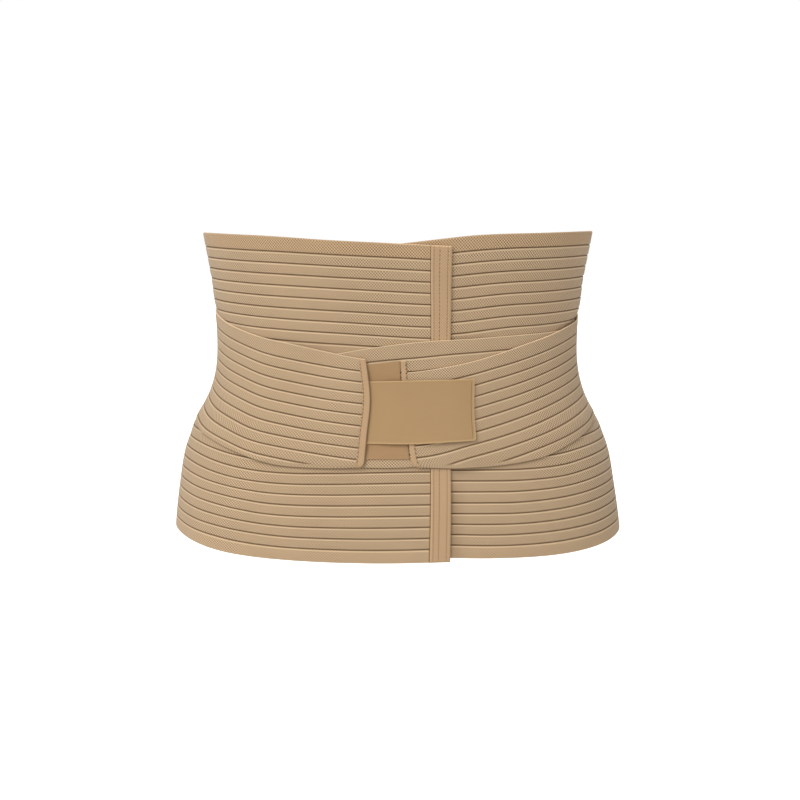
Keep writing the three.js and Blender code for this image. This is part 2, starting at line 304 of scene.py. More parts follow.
BODY_SWAY = (
    Sway(-0.160, 0.0002, -0.0010),
    Sway(-0.130, -0.0002, -0.0008),
    Sway(-0.100, -0.0007, 0.0),
    Sway(-0.080, -0.0009, 0.0009),
    Sway(-0.073, -0.0009, 0.0014),
    Sway(-0.063, -0.0011, 0.0027),
    Sway(-0.049, -0.0010, 0.0016),
    Sway(-0.030, -0.0007, 0.0018),
    Sway(-0.010, -0.0007, 0.0021),
    Sway(0.012, -0.0006, 0.0017),
    Sway(0.022, -0.0006, 0.0012),
    Sway(0.036, -0.0001, 0.0010),
    Sway(0.043, -0.0001, 0.0010),
    Sway(0.052, -0.0002, 0.0005),
    Sway(0.090, 0.0003, 0.0008),
)
BODY_SWELLS = (
    Swell(5, 31, 0.7, 1.0),
    Swell(9, -47, 2.1, 0.7),
    Swell(16, 83, 4.0, 0.45),
)
HOOK_TAB_END = (EndPoint(-0.066, 27.2), EndPoint(-0.017, 29.1))

BELT_START = -15.8
INNER_STRAP_START = -30.4
INNER_STRAP_STOP = 73.7
STRAP_BACK_END = 152.0
CLOSURE_START = -15.8
PATCH_GAP = 2.05

BELT_LEAN_START = 350.0
LEFT_LEAN_START = -28.0
RIGHT_LEAN_STOP = 28.0
TAB_LEAN_START = 0.0


def smoothstep(low: float, high: float, at: Array) -> Array:
    """Smooth climb from 0 to 1 between two values.

    Args:
        low: Value where the climb starts.
        high: Value where the climb ends.
        at: Values to read.

    Returns:
        How much of the climb is behind at each value.
    """
    share = np.clip((np.asarray(at, float) - low) / (high - low), 0, 1)
    return share * share * (3 - 2 * share)


def fading(distance: Array, run: float) -> Array:
    """Share that is 1 at no distance and fades evenly to 0 at the end of a run."""
    return np.clip(1 - distance / run, 0, 1)


def merged(*groups: Array | Sequence[float]) -> Array:
    """Stations of several groups in one row, in order and without doubles."""
    return np.unique(np.round(np.concatenate(groups), STATION_DIGITS))


TableRow = Section | Edges | RibPull | HipPull | Sway | EndPoint


class SmoothTable:
    """Smooth curve through the columns of a table, read at values of its first column."""

    def __init__(self, rows: Sequence[TableRow]) -> None:
        """Keeps the columns, with each row's slope as the mean of the slopes on its two sides.

        Args:
            rows: Rows of the table, in the order of their first column.
        """
        table = np.array([astuple(row) for row in rows], float)
        self.keys = table[:, 0]
        self.values = table[:, 1:]
        secants = np.diff(self.values, axis=0) / np.diff(self.keys)[:, None]
        inner = (secants[:-1] + secants[1:]) / 2
        self.slopes = np.vstack([secants[:1], inner, secants[-1:]])

    def __call__(self, at: Array | float) -> list[Array]:
        """Reads the curve.

        Args:
            at: Values of the first column.

        Returns:
            The other columns at those values.
        """
        held = np.clip(np.asarray(at, float), self.keys[0], self.keys[-1])
        low = np.clip(np.searchsorted(self.keys, held, side="right") - 1, 0, len(self.keys) - 2)
        span = (self.keys[low + 1] - self.keys[low])[..., None]
        share = (held - self.keys[low])[..., None] / span
        start = self.values[low] * (1 + 2 * share) + self.slopes[low] * span * share
        stop = self.values[low + 1] * (3 - 2 * share) - self.slopes[low + 1] * span * (1 - share)
        found = start * (1 - share) ** 2 + stop * share**2
        return list(np.moveaxis(found, -1, 0))


@dataclass(frozen=True)
class Body:
    """Inner face of the belt, which the worn shape gives to every layer of cloth."""

    sections: SmoothTable
    sway: SmoothTable
    left_strap: SmoothTable
    right_strap: SmoothTable
    swells: tuple[Swell, ...]
    probe_angle: float = 0.2
    probe_height: float = 0.0002
    uneven_depth: float = 0.00018
    bite_depth: float = 0.0013
    bite_run: float = 0.008
    bite_ease: float = 0.9
    bite_front: Run = (40, 68)
    bite_back: Run = (138, 156)

    def point(self, angle: Array, height: Array) -> Array:
        """Points of the inner face.

        Args:
            angle: Angles round the body.
            height: Heights on it.

        Returns:
            One point in each row.
        """
        half_width, front, back, power = self.sections(height)
        turn = np.radians(angle)
        across = np.sin(turn)
        forward = np.cos(turn)
        depth = np.where(forward > 0, front, back)
        total = np.abs(across / half_width) ** power + np.abs(forward / depth) ** power
        radius = total ** (-1 / power)
        shift, widening = self.sway(height)
        side = radius * across * (1 + widening / half_width) + shift * across**2
        return np.stack([side, -radius * forward, np.broadcast_to(height, radius.shape)], axis=-1)

    def bite(self, angle: Array, height: Array) -> Array:
        """How far the tight straps press into the sides, so that their edges stand little above the belt.

        Args:
            angle: Angles round the body.
            height: Heights on it.

        Returns:
            The depth at each point.
        """
        turn = (angle + HALF_TURN) % FULL_TURN - HALF_TURN
        left = self.left_strap(turn)
        right = self.right_strap(turn)
        top = np.where(turn < 0, left[0], right[0])
        bottom = np.where(turn < 0, left[1], right[1])
        ease = self.bite_ease * self.bite_run
        under = smoothstep(0, self.bite_run, top - height + ease)
        over = smoothstep(0, self.bite_run, height - bottom + ease)
        away = np.abs(turn)
        side = smoothstep(*self.bite_front, away) * (1 - smoothstep(*self.bite_back, away))
        return self.bite_depth * under * over * side

    def unevenness(self, angle: Array, height: Array) -> Array:
        """Slight swells of worn cloth, the same for every layer so that the layers stay clear.

        Args:
            angle: Angles round the body.
            height: Heights on it.

        Returns:
            The lift at each point, negative in the hollows.
        """
        turn = np.radians(angle)
        waves = [
            swell.share * np.sin(swell.around * turn + swell.slant * height + swell.start)
            for swell in self.swells
        ]
        return self.uneven_depth * sum(waves)

    def lifted(self, angle: Array, height: Array, lift: Array) -> Array:
        """Points that stand off the inner face, straight out from it.

        Args:
            angle: Angles round the body.
            height: Heights on it.
            lift: Distances from it.

        Returns:
            One point in each row.
        """
        along = self.point(angle + self.probe_angle, height) - self.point(angle - self.probe_angle, height)
        up = self.point(angle, height + self.probe_height) - self.point(angle, height - self.probe_height)
        outward = np.cross(along, up)
        outward /= np.linalg.norm(outward, axis=-1, keepdims=True)
        stand = lift + self.unevenness(angle, height) - self.bite(angle, height)
        return self.point(angle, height) + outward * stand[..., None]

    def speed(self, angle: float, height: float) -> float:
        """Distance along the inner face for each degree, at an angle and a height."""
        ends = self.point(np.array([angle - self.probe_angle, angle + self.probe_angle]), np.full(2, height))
        return float(np.linalg.norm(ends[1] - ends[0]) / (2 * self.probe_angle))


BODY = Body(
    sections=SmoothTable(BODY_SECTIONS),
    sway=SmoothTable(BODY_SWAY),
    left_strap=SmoothTable(LEFT_STRAP_EDGES),
    right_strap=SmoothTable(RIGHT_STRAP_EDGES),
    swells=BODY_SWELLS,
)


# Layers

class Climb(Enum):
    """Angles between which a layer climbs over what lies under it, or comes down past its end."""

    BELT_OVER_ITSELF = (310, 337)
    DOWN_FROM_BELT_END = (21, 33)
    INNER_STRAP_PAST_BELT_END = (21, 40)
    RIGHT_STRAP_PAST_INNER_STRAP = (74, 82)
    TAB_OVER_RIGHT_STRAP = (-12, 0)
    LEFT_STRAP_OVER_INNER_STRAP = (-58, -32)
    LEFT_STRAP_OVER_TAB = (-36, -17)

    def done(self, angle: Array) -> Array:
        """How much of the climb is behind at an angle, from 0 before it to 1 past it."""
        low, high = self.value
        return smoothstep(low, high, angle)


@dataclass(frozen=True)
class Ribbing:
    """Section of ribbed elastic: a hem, equal bands and a hem, with a groove between each two.

    The bands nearer the middle may be pulled a little wider, by the bulge.
    """

    thickness: float
    top_hem: float
    pitch: float
    bands: int
    bottom_hem: float
    bulge: float = 0.0
    groove_depth: float = 0.0009
    groove_width: float = 0.0015
    lip_near: float = 0.00115
    lip_far: float = 0.0020
    lip_light: float = 0.8
    lip_start: float = 0.4
    brow: float = 1.7

    @property
    def width(self) -> float:
        """Width of the whole section."""
        return self.top_hem + self.bands * self.pitch + self.bottom_hem

    @property
    def grooves(self) -> Array:
        """Distances of the grooves' middles down from the upper edge."""
        even = self.top_hem + self.pitch * np.arange(self.bands + 1)
        return even + self.bulge * np.sin(math.pi * even / self.width)

    def rows(self) -> Array:
        """Distances down from the upper edge where the cloth needs a row of corners.

        Returns:
            The distances, from the upper edge to the lower one.
        """
        half = self.groove_width / 2
        brow = self.brow * half
        steps = np.array([-brow, -half, -half / 2, 0, half / 2, half, self.lip_near, self.lip_far])
        near = self.grooves[:, None] + steps
        edge = edge_steps(self.thickness)
        rows = np.concatenate([edge, near.ravel(), self.width - edge])
        return np.sort(rows)

    def below_groove(self, down: Array) -> Array:
        """Distance below the nearest groove's middle, negative above it.

        Args:
            down: Distances down from the upper edge.

        Returns:
            The distance at each place.
        """
        gaps = down[..., None] - self.grooves
        nearest = np.abs(gaps).argmin(axis=-1)
        return np.take_along_axis(gaps, nearest[..., None], axis=-1)[..., 0]

    def groove_share(self, down: Array) -> Array:
        """Share of a groove's depth, 1 at the bottom of a groove and 0 on the bands."""
        return np.clip(1 - 2 * np.abs(self.below_groove(down)) / self.groove_width, 0, 1)

    def shade(self, down: Array) -> Array:
        """Painted shade in the grooves, with painted highlight below zero on the lip under each groove.

        Args:
            down: Distances down from the upper edge.

        Returns:
            The shade at each distance.
        """
        places = [self.groove_width / 2, self.lip_near, self.lip_far]
        lip = np.interp(self.below_groove(down), places, [self.lip_start, 1, 0], left=0)
        return self.groove_share(down) - self.lip_light * lip


ROUND_SHARE = 0.45
ROUND_STEPS = (0, 0.12, 0.45, 1)
ROUND_LIGHT = 0.3


def edge_radius(thickness: float) -> float:
    """Radius of the rounded edge of a cloth."""
    return ROUND_SHARE * thickness


def edge_steps(thickness: float) -> Array:
    """Distances in from a rounded edge where a row of corners follows the round."""
    return edge_radius(thickness) * np.array(ROUND_STEPS)


def drawn_in(distance: Array, radius: float) -> Array:
    """How far a face is drawn in near a rounded edge.

    Args:
        distance: Distances from the edge.
        radius: Radius of the round.

    Returns:
        The depth of the round at each distance.
    """
    inside = np.clip(radius - distance, 0, radius)
    return radius - np.sqrt(radius**2 - inside**2)


def edge_light(distance: Array, thickness: float) -> Array:
    """Painted highlight on the round of an edge, nothing past the round."""
    return ROUND_LIGHT * fading(distance, edge_radius(thickness))


LAYER_GAP = 0.0002
BELT_RIBS = Ribbing(thickness=0.0022, top_hem=0.0108, pitch=0.00864, bands=26, bottom_hem=0.0104)
LEFT_RIBS = Ribbing(
    thickness=0.0015, top_hem=0.0115, pitch=0.0086, bands=10, bottom_hem=0.0087, bulge=0.0015
)
RIGHT_RIBS = Ribbing(thickness=0.0015, top_hem=0.0114, pitch=0.00905, bands=10, bottom_hem=0.0043)
INNER_RIBS = Ribbing(thickness=0.0013, top_hem=0.0124, pitch=0.0108, bands=8, bottom_hem=0.0090)
BINDING_THICKNESS = 0.0023
PATCH_THICKNESS = 0.0009
TAB_THICKNESS = 0.0011
TUCK_BELOW_TAB = (-0.0790, -0.0710)
TUCK_ABOVE_TAB = (-0.0165, -0.006)
HEM_DROP_RUN = (-0.0035, 0.0025)

INNER_EDGES = SmoothTable(INNER_STRAP_EDGES)

OVER_BELT = BELT_RIBS.thickness + LAYER_GAP
OVER_INNER_STRAP = INNER_RIBS.thickness + LAYER_GAP
OVER_PATCH = PATCH_THICKNESS + LAYER_GAP
OVER_TAB = TAB_THICKNESS + LAYER_GAP


def belt_lift(angle: Array) -> Array:
    """The left end of the belt climbs over its right end."""
    return OVER_BELT * Climb.BELT_OVER_ITSELF.done(angle)


def inner_strap_lift(angle: Array) -> Array:
    """The inner strap lies over the lapped belt and comes down to the right half past the belt's end."""
    return OVER_BELT + (OVER_BELT + LAYER_GAP) * (1 - Climb.INNER_STRAP_PAST_BELT_END.done(angle))


def patch_lift(angle: Array) -> Array:
    """The loop patch lies on the inner strap."""
    return inner_strap_lift(angle) + OVER_INNER_STRAP


def right_strap_lift(angle: Array) -> Array:
    """The right strap lies on the inner strap, and on the belt behind the inner strap's end."""
    left = 1 - Climb.RIGHT_STRAP_PAST_INNER_STRAP.done(angle)
    return inner_strap_lift(angle) + OVER_INNER_STRAP * left


def hook_tab_lift(angle: Array) -> Array:
    """The hook tab leaves the loop patch and climbs over the end of the right strap.

    Args:
        angle: Angles round the body.

    Returns:
        The lift of its body side at each angle.
    """
    on_patch = patch_lift(np.zeros_like(angle)) + OVER_PATCH
    on_strap = right_strap_lift(angle) + BINDING_THICKNESS + LAYER_GAP
    done = Climb.TAB_OVER_RIGHT_STRAP.done(angle)
    return on_patch + (on_strap - on_patch) * done


def left_strap_lift(angle: Array) -> Array:
    """The left strap climbs over the lapped belt, the inner strap, the loop patch and the hook tab.

    Args:
        angle: Angles round the body.

    Returns:
        The lift of its body side at each angle.
    """
    on_inner = patch_lift(np.zeros_like(angle))
    low_part = OVER_BELT + (on_inner - OVER_BELT) * Climb.LEFT_STRAP_OVER_INNER_STRAP.done(angle)
    return low_part + (OVER_PATCH + OVER_TAB + LAYER_GAP) * Climb.LEFT_STRAP_OVER_TAB.done(angle)


def tucked(angle: Array, height: Array) -> Array:
    """Share of the way that the left strap comes down above and below the hook tab."""
    over_tab = smoothstep(*TUCK_BELOW_TAB, height) * (1 - smoothstep(*TUCK_ABOVE_TAB, height))
    return Climb.LEFT_STRAP_OVER_TAB.done(angle) * (1 - over_tab)


def belt_face(angle: Array) -> Array:
    """Height of the outer face of the lapped belt over the body.

    Args:
        angle: Angles round the body.

    Returns:
        The height at each angle.
    """
    left = Climb.BELT_OVER_ITSELF.done(angle + FULL_TURN)
    right = 1 - Climb.DOWN_FROM_BELT_END.done(angle)
    return BELT_RIBS.thickness + (OVER_BELT + 2 * LAYER_GAP) * np.where(angle < 0, left, right)


def hem_drop(angle: Array, height: Array, lift: Array) -> Array:
    """How far a strap's lower hem comes down to the belt where it hangs past the inner strap's lower edge.

    Args:
        angle: Angles round the body.
        height: Heights on it.
        lift: Distances of the strap from the body.

    Returns:
        The drop at each point.
    """
    _, inner_bottom = INNER_EDGES(angle)
    past = smoothstep(*HEM_DROP_RUN, inner_bottom - height)
    return np.clip(lift - belt_face(angle) - LAYER_GAP, 0, None) * past


def settling(angle: Array, height: Array, lift: Array, tuck: float) -> Array:
    """How far a strap comes down round the hook tab, and its lower hem to the belt.

    Args:
        angle: Angles round the body.
        height: Heights on it.
        lift: Distances of the strap from the body.
        tuck: How far the strap comes down beside the tab.

    Returns:
        The drop at each point.
    """
    round_tab = tuck * tucked(angle, height)
    return round_tab + hem_drop(angle, height, lift - round_tab)


@dataclass(frozen=True)
class UprightEnd:
    """Upright end of a piece, whose lean fades out along the piece."""

    table: SmoothTable
    reach: float
    fade: float

    def lean(self, angle: Array, height: Array) -> Array:
        """How many degrees a point moves with the lean of the end.

        Args:
            angle: Angles round the body.
            height: Heights on it.

        Returns:
            The move of each point.
        """
        (found,) = self.table(height)
        share = smoothstep(0, 1, (angle - self.fade) / (self.reach - self.fade))
        return (found - self.reach) * share


BELT_FRONT = UprightEnd(SmoothTable(BELT_END), BELT_END[-1].angle, BELT_LEAN_START)
LEFT_FRONT = UprightEnd(SmoothTable(LEFT_STRAP_END), LEFT_STRAP_END[-1].angle, LEFT_LEAN_START)
RIGHT_FRONT = UprightEnd(SmoothTable(RIGHT_STRAP_END), RIGHT_STRAP_END[-1].angle, RIGHT_LEAN_STOP)
TAB_FRONT = UprightEnd(SmoothTable(HOOK_TAB_END), HOOK_TAB_END[-1].angle, TAB_LEAN_START)
PATCH_STOP = RIGHT_FRONT.reach - PATCH_GAP


def upright(angle: Array, height: Array) -> Array:
    """Lean of a piece whose ends are plain."""
    return np.zeros(np.broadcast(angle, height).shape)


# Finishes

Colour = tuple[int, int, int]
Socket = bpy.types.NodeSocket
Sockets = dict[str, Socket]
Tree = bpy.types.NodeTree

TWILL_SHARE = 0.45
CHECK_SWING = 0.42
TONE_DETAIL = 3.0
TONE_ROUGHNESS = 0.6
MIX_INPUTS = {"Factor": 0, "A": 6, "B": 7}
MIX_RESULT = 2


def linear(colour: Colour) -> tuple[float, float, float, float]:
    """Linear colour, with alpha, of an eight-bit display colour.

    Args:
        colour: Red, green and blue, up to 255.

    Returns:
        The linear colour.
    """
    shares = [part / 255 for part in colour]
    light = [part / 12.92 if part <= 0.04045 else ((part + 0.055) / 1.055) ** 2.4 for part in shares]
    return (*light, 1.0)


def add_node(tree: Tree, kind: str, inputs: dict[str | int, object], **settings: object) -> bpy.types.Node:
    """Adds a shader node.

    Args:
        tree: Tree that gets the node.
        kind: Blender's name of the node's type.
        inputs: Values or sockets for the node's inputs, by name or number.
        settings: Values for the node's own settings.

    Returns:
        The new node.
    """
    node = tree.nodes.new(kind)
    for name, value in settings.items():
        setattr(node, name, value)
    for key, value in inputs.items():
        if isinstance(value, Socket):
            tree.links.new(value, node.inputs[key])
        else:
            node.inputs[key].default_value = value
    return node


def calculate(tree: Tree, operation: str, first: Socket | float, second: Socket | float = 0.0) -> Socket:
    """Adds a math node and gives its result."""
    return add_node(tree, "ShaderNodeMath", {0: first, 1: second}, operation=operation).outputs[0]


def new_group(name: str, inputs: dict[str, str], outputs: dict[str, str]) -> tuple[Tree, Sockets, Sockets]:
    """Makes a shader node group.

    Args:
        name: Name of the group.
        inputs: Socket type of each input, by name.
        outputs: Socket type of each output, by name.

    Returns:
        The group's tree, the sockets that its inputs come in by, and the sockets that its outputs leave by.
    """
    tree = bpy.data.node_groups.new(name, "ShaderNodeTree")
    for label, kind in inputs.items():
        tree.interface.new_socket(name=label, in_out="INPUT", socket_type=kind)
    for label, kind in outputs.items():
        tree.interface.new_socket(name=label, in_out="OUTPUT", socket_type=kind)
    entry = tree.nodes.new("NodeGroupInput")
    way_out = tree.nodes.new("NodeGroupOutput")
    arrive = {label: entry.outputs[label] for label in inputs}
    leave = {label: way_out.inputs[label] for label in outputs}
    return tree, arrive, leave


def woven_check_group() -> Tree:
    """Builds the group with a diagonal check of raised and sunk threads, on a flat map in metres.

    Returns:
        The group.
    """
    kinds = {"Vector": "NodeSocketVector", "Pitch": "NodeSocketFloat"}
    tree, arrive, leave = new_group("woven_check", kinds, {"Check": "NodeSocketFloat"})
    parts = add_node(tree, "ShaderNodeSeparateXYZ", {0: arrive["Vector"]}).outputs
    turn = calculate(tree, "DIVIDE", math.tau, arrive["Pitch"])
    along = calculate(tree, "MULTIPLY", parts[0], turn)
    across = calculate(tree, "MULTIPLY", parts[1], turn)
    check = calculate(tree, "MULTIPLY", calculate(tree, "SINE", along), calculate(tree, "SINE", across))
    twill = calculate(tree, "SINE", calculate(tree, "ADD", along, across))
    mixed = calculate(tree, "ADD", check, calculate(tree, "MULTIPLY", twill, TWILL_SHARE))
    half = calculate(tree, "MULTIPLY", mixed, CHECK_SWING)
    tree.links.new(calculate(tree, "ADD", half, 0.5), leave["Check"])
    return tree


def soft_tone_group() -> Tree:
    """Builds the group with a soft, cloudy change of tone about 1.

    Returns:
        The group.
    """
    kinds = {"Vector": "NodeSocketVector", "Size": "NodeSocketFloat", "Depth": "NodeSocketFloat"}
    tree, arrive, leave = new_group("soft_tone", kinds, {"Tone": "NodeSocketFloat"})
    scale = calculate(tree, "DIVIDE", 1.0, arrive["Size"])
    noise_inputs = {
        "Vector": arrive["Vector"],
        "Scale": scale,
        "Detail": TONE_DETAIL,
        "Roughness": TONE_ROUGHNESS,
    }
    noise = add_node(tree, "ShaderNodeTexNoise", noise_inputs).outputs[0]
    swing = calculate(tree, "MULTIPLY", calculate(tree, "SUBTRACT", noise, 0.5), 2.0)
    tone = calculate(tree, "ADD", calculate(tree, "MULTIPLY", swing, arrive["Depth"]), 1.0)
    tree.links.new(tone, leave["Tone"])
    return tree


class Weave(Enum):
    """Ways that the threads of a cloth lie."""

    CHECK = "woven_check"
    PLAIN = "plain"


@dataclass(frozen=True)
class ClothFinish:
    """Finish of a cloth: raised and sunk threads, a soft change of tone, and painted shade in its grooves
    with painted highlight on lips and edges.
    """

    name: str
    slot: str
    raised: Colour
    sunk: Colour
    weave: Weave
    pitch: float
    relief: float
    roughness: float
    sheen: float
    sheen_roughness: float = 0.6
    specular: float = 0.25
    cloud_size: float = 0.045
    cloud_depth: float = 0.05
    patch_size: float = 0.004
    patch_depth: float = 1.5
    streak: tuple[float, float, float] = (0.3, 1.0, 1.0)
    fuzz_size: float = 0.0011
    fuzz_depth: float = 0.06
    fuzz_relief: float = 2.0
    plain_depth: float = 0.5
    # Painted shade and highlight: how far they calm the weave, their strength, and the loss of each colour
    # channel.
    painted_shading_calm: float = 2.5
    painted_shade_strength: float = 0.7
    painted_shade_loss: tuple[float, float, float] = (1.02, 1.14, 1.30)
    mapped: bool = True
    hem_tint: tuple[float, float, float, float] = (1.0, 0.95, 0.89, 1.0)

    def material(self) -> bpy.types.Material:
        """Builds the material.

        Returns:
            The material, made once and kept by its name.
        """
        kept = bpy.data.materials.get(self.name)
        if kept:
            return kept
        made = bpy.data.materials.new(self.name)
        made.use_nodes = True
        tree = made.node_tree
        shader = tree.nodes["Principled BSDF"]
        shader.inputs["Sheen Weight"].default_value = self.sheen
        shader.inputs["Sheen Roughness"].default_value = self.sheen_roughness
        shader.inputs["Specular IOR Level"].default_value = self.specular
        place = add_node(tree, "ShaderNodeTexCoord", {}).outputs["Object"]
        flat = place
        if self.mapped:
            flat = add_node(tree, "ShaderNodeUVMap", {}, uv_map=CLOTH_MAP).outputs["UV"]
        # Painted shade, and painted highlight below zero, from the strips' point attribute.
        crease = add_node(tree, "ShaderNodeAttribute", {}, attribute_name=PAINTED_SHADING).outputs["Fac"]
        thread = self.worn_thread(tree, flat, crease)
        cloud = self.tone(tree, place, self.cloud_size, self.cloud_depth)
        fuzz = self.tone(tree, flat, self.fuzz_size, self.fuzz_depth)
        colour = self.colour(tree, thread, calculate(tree, "MULTIPLY", cloud, fuzz), crease)
        tree.links.new(colour, shader.inputs["Base Color"])
        rough = calculate(tree, "MULTIPLY", fuzz, self.roughness)
        tree.links.new(rough, shader.inputs["Roughness"])
        height = calculate(tree, "ADD", thread, calculate(tree, "MULTIPLY", fuzz, self.fuzz_relief))
        bump_inputs = {"Strength": 1.0, "Distance": self.relief, "Height": height}
        bump = add_node(tree, "ShaderNodeBump", bump_inputs).outputs["Normal"]
        tree.links.new(bump, shader.inputs["Normal"])
        return made

    def worn_thread(self, tree: Tree, flat: Socket, crease: Socket) -> Socket:
        """Share of raised thread, clearer in worn patches and calmer where shade or highlight is painted.

        Args:
            tree: Tree of the material.
            flat: The cloth's flat map.
            crease: Painted shade, with painted highlight below zero.

        Returns:
            The share.
        """
        streaks = {0: flat, 1: self.streak}
        long_way = add_node(tree, "ShaderNodeVectorMath", streaks, operation="MULTIPLY").outputs[0]
        patches = self.tone(tree, long_way, self.patch_size, self.patch_depth)
        steep = calculate(tree, "MULTIPLY", calculate(tree, "ABSOLUTE", crease), self.painted_shading_calm)
        even = {0: 1.0, 1: steep}
        calm = add_node(tree, "ShaderNodeMath", even, operation="SUBTRACT", use_clamp=True).outputs[0]
        swing = calculate(tree, "SUBTRACT", self.thread(tree, flat), 0.5)
        kept_swing = calculate(tree, "MULTIPLY", swing, calculate(tree, "MULTIPLY", patches, calm))
        return calculate(tree, "ADD", kept_swing, 0.5)

    def colour(self, tree: Tree, thread: Socket, tone: Socket, crease: Socket) -> Socket:
        """Colour of the threads, warmer on hems, with the change of tone, painted shade in the grooves and
        painted highlight on lips and edges.

        Args:
            tree: Tree of the material.
            thread: Share of raised thread.
            tone: Change of tone.
            crease: Painted shade, with painted highlight below zero.

        Returns:
            The colour.
        """
        threads = {"Factor": thread, "A": linear(self.sunk), "B": linear(self.raised)}
        plain = self.mix(tree, "MIX", threads)
        hem = add_node(tree, "ShaderNodeAttribute", {}, attribute_name=HEM).outputs["Fac"]
        warmed = self.mix(tree, "MULTIPLY", {"Factor": hem, "A": plain, "B": self.hem_tint})
        toned = self.mix(tree, "MULTIPLY", {"Factor": 1.0, "A": warmed, "B": tone})
        # Painted shade darkens and browns the colour; below zero it paints a highlight.
        loss = tuple(-self.painted_shade_strength * share for share in self.painted_shade_loss)
        shading = {0: crease, 1: loss, 2: (1.0, 1.0, 1.0)}
        shade = add_node(tree, "ShaderNodeVectorMath", shading, operation="MULTIPLY_ADD").outputs[0]
        return self.mix(tree, "MULTIPLY", {"Factor": 1.0, "A": toned, "B": shade})

    def thread(self, tree: Tree, flat: Socket) -> Socket:
        """Share of raised thread by the cloth's weave.

        Args:
            tree: Tree of the material.
            flat: The cloth's flat map.

        Returns:
            The share, before it is worn.
        """
        if self.weave is Weave.PLAIN:
            return self.tone(tree, flat, self.pitch, self.plain_depth)
        group = bpy.data.node_groups[self.weave.value]
        node = add_node(tree, "ShaderNodeGroup", {}, node_tree=group)
        tree.links.new(flat, node.inputs["Vector"])
        node.inputs["Pitch"].default_value = self.pitch
        return node.outputs[0]

    @staticmethod
    def tone(tree: Tree, vector: Socket, size: float, depth: float) -> Socket:
        """Soft change of tone.

        Args:
            tree: Tree of the material.
            vector: Places on the cloth.
            size: Size of the clouds of tone.
            depth: How far the tone changes.

        Returns:
            The tone, about 1.
        """
        node = add_node(tree, "ShaderNodeGroup", {}, node_tree=bpy.data.node_groups["soft_tone"])
        tree.links.new(vector, node.inputs["Vector"])
        node.inputs["Size"].default_value = size
        node.inputs["Depth"].default_value = depth
        return node.outputs["Tone"]

    @staticmethod
    def mix(tree: Tree, blend: str, inputs: dict[str, object]) -> Socket:
        """Mix of two colours.

        Args:
            tree: Tree of the material.
            blend: Blender's name of the way that they mix.
            inputs: Factor, A and B, as values or sockets.

        Returns:
            The mixed colour.
        """
        kind = {"data_type": "RGBA", "blend_type": blend}
        places = {MIX_INPUTS[label]: value for label, value in inputs.items()}
        return add_node(tree, "ShaderNodeMix", places, **kind).outputs[MIX_RESULT]


RIBBED = ClothFinish(
    name="woven_ribbing",
    slot="ribbed_elastic",
    raised=(225, 193, 153),
    sunk=(105, 86, 65),
    weave=Weave.CHECK,
    pitch=0.00225,
    relief=0.0002,
    roughness=0.9,
    sheen=0.12,
)
TAPE = ClothFinish(
    name="folded_tape",
    slot="binding_tape",
    raised=(205, 171, 132),
    sunk=(161, 131, 97),
    weave=Weave.CHECK,
    pitch=0.0021,
    relief=0.0001,
    roughness=0.85,
    sheen=0.1,
    painted_shade_strength=0.45,
)
HOOK = ClothFinish(
    name="smooth_hook_cloth",
    slot="hook_fabric",
    raised=(171, 139, 98),
    sunk=(167, 135, 94),
    weave=Weave.PLAIN,
    pitch=0.0009,
    relief=0.00004,
    roughness=0.8,
    sheen=0.05,
    cloud_depth=0.02,
    fuzz_depth=0.02,
    painted_shade_strength=0.35,
)
LOOP = ClothFinish(
    name="brushed_loop_cloth",
    slot="loop_fabric",
    raised=(167, 133, 94),
    sunk=(153, 120, 84),
    weave=Weave.PLAIN,
    pitch=0.0007,
    relief=0.00015,
    roughness=0.95,
    sheen=0.2,
)
THREAD = ClothFinish(
    name="sewing_thread",
    slot="binding_tape",
    raised=(122, 94, 66),
    sunk=(98, 74, 50),
    weave=Weave.PLAIN,
    pitch=0.0006,
    relief=0.00005,
    roughness=0.7,
    sheen=0.1,
    mapped=False,
)


# Cloth pieces

@dataclass(frozen=True)
class Course:
    """Run of a strip round the body: its stations' angles and their distances along it."""

    angles: Array
    along: Array

    @classmethod
    def between(cls, start: float, end: float, height: float, spacing: float, thickness: float) -> "Course":
        """Stations at even distances, with a few more that follow the rounds of the two ends.

        Args:
            start: Angle of the first end.
            end: Angle of the last end.
            height: Height where the distances are measured.
            spacing: Distance between the even stations.
            thickness: Thickness of the cloth.

        Returns:
            The course.
        """
        fine = np.linspace(start, end, COURSE_PROBES)
        steps = np.linalg.norm(np.diff(BODY.point(fine, np.full(fine.shape, height)), axis=0), axis=1)
        reached = np.concatenate([[0], np.cumsum(steps)])
        length = reached[-1]
        edge = edge_steps(thickness)
        even = np.linspace(edge[-1], length - edge[-1], max(2, round(length / spacing)))
        along = np.unique(np.concatenate([edge[:-1], even, length - edge[:-1]]))
        return cls(np.interp(along, reached, fine), along)

    @property
    def length(self) -> float:
        """Length of the whole run."""
        return float(self.along[-1])

    def angle(self, along: Array) -> Array:
        """Angles at distances along the run."""
        return np.interp(along, self.along, self.angles)

    def with_more(self, extra: Array) -> "Course":
        """The same run with more stations, given by their distances along it."""
        along = merged(self.along, extra)
        return Course(self.angle(along), along)


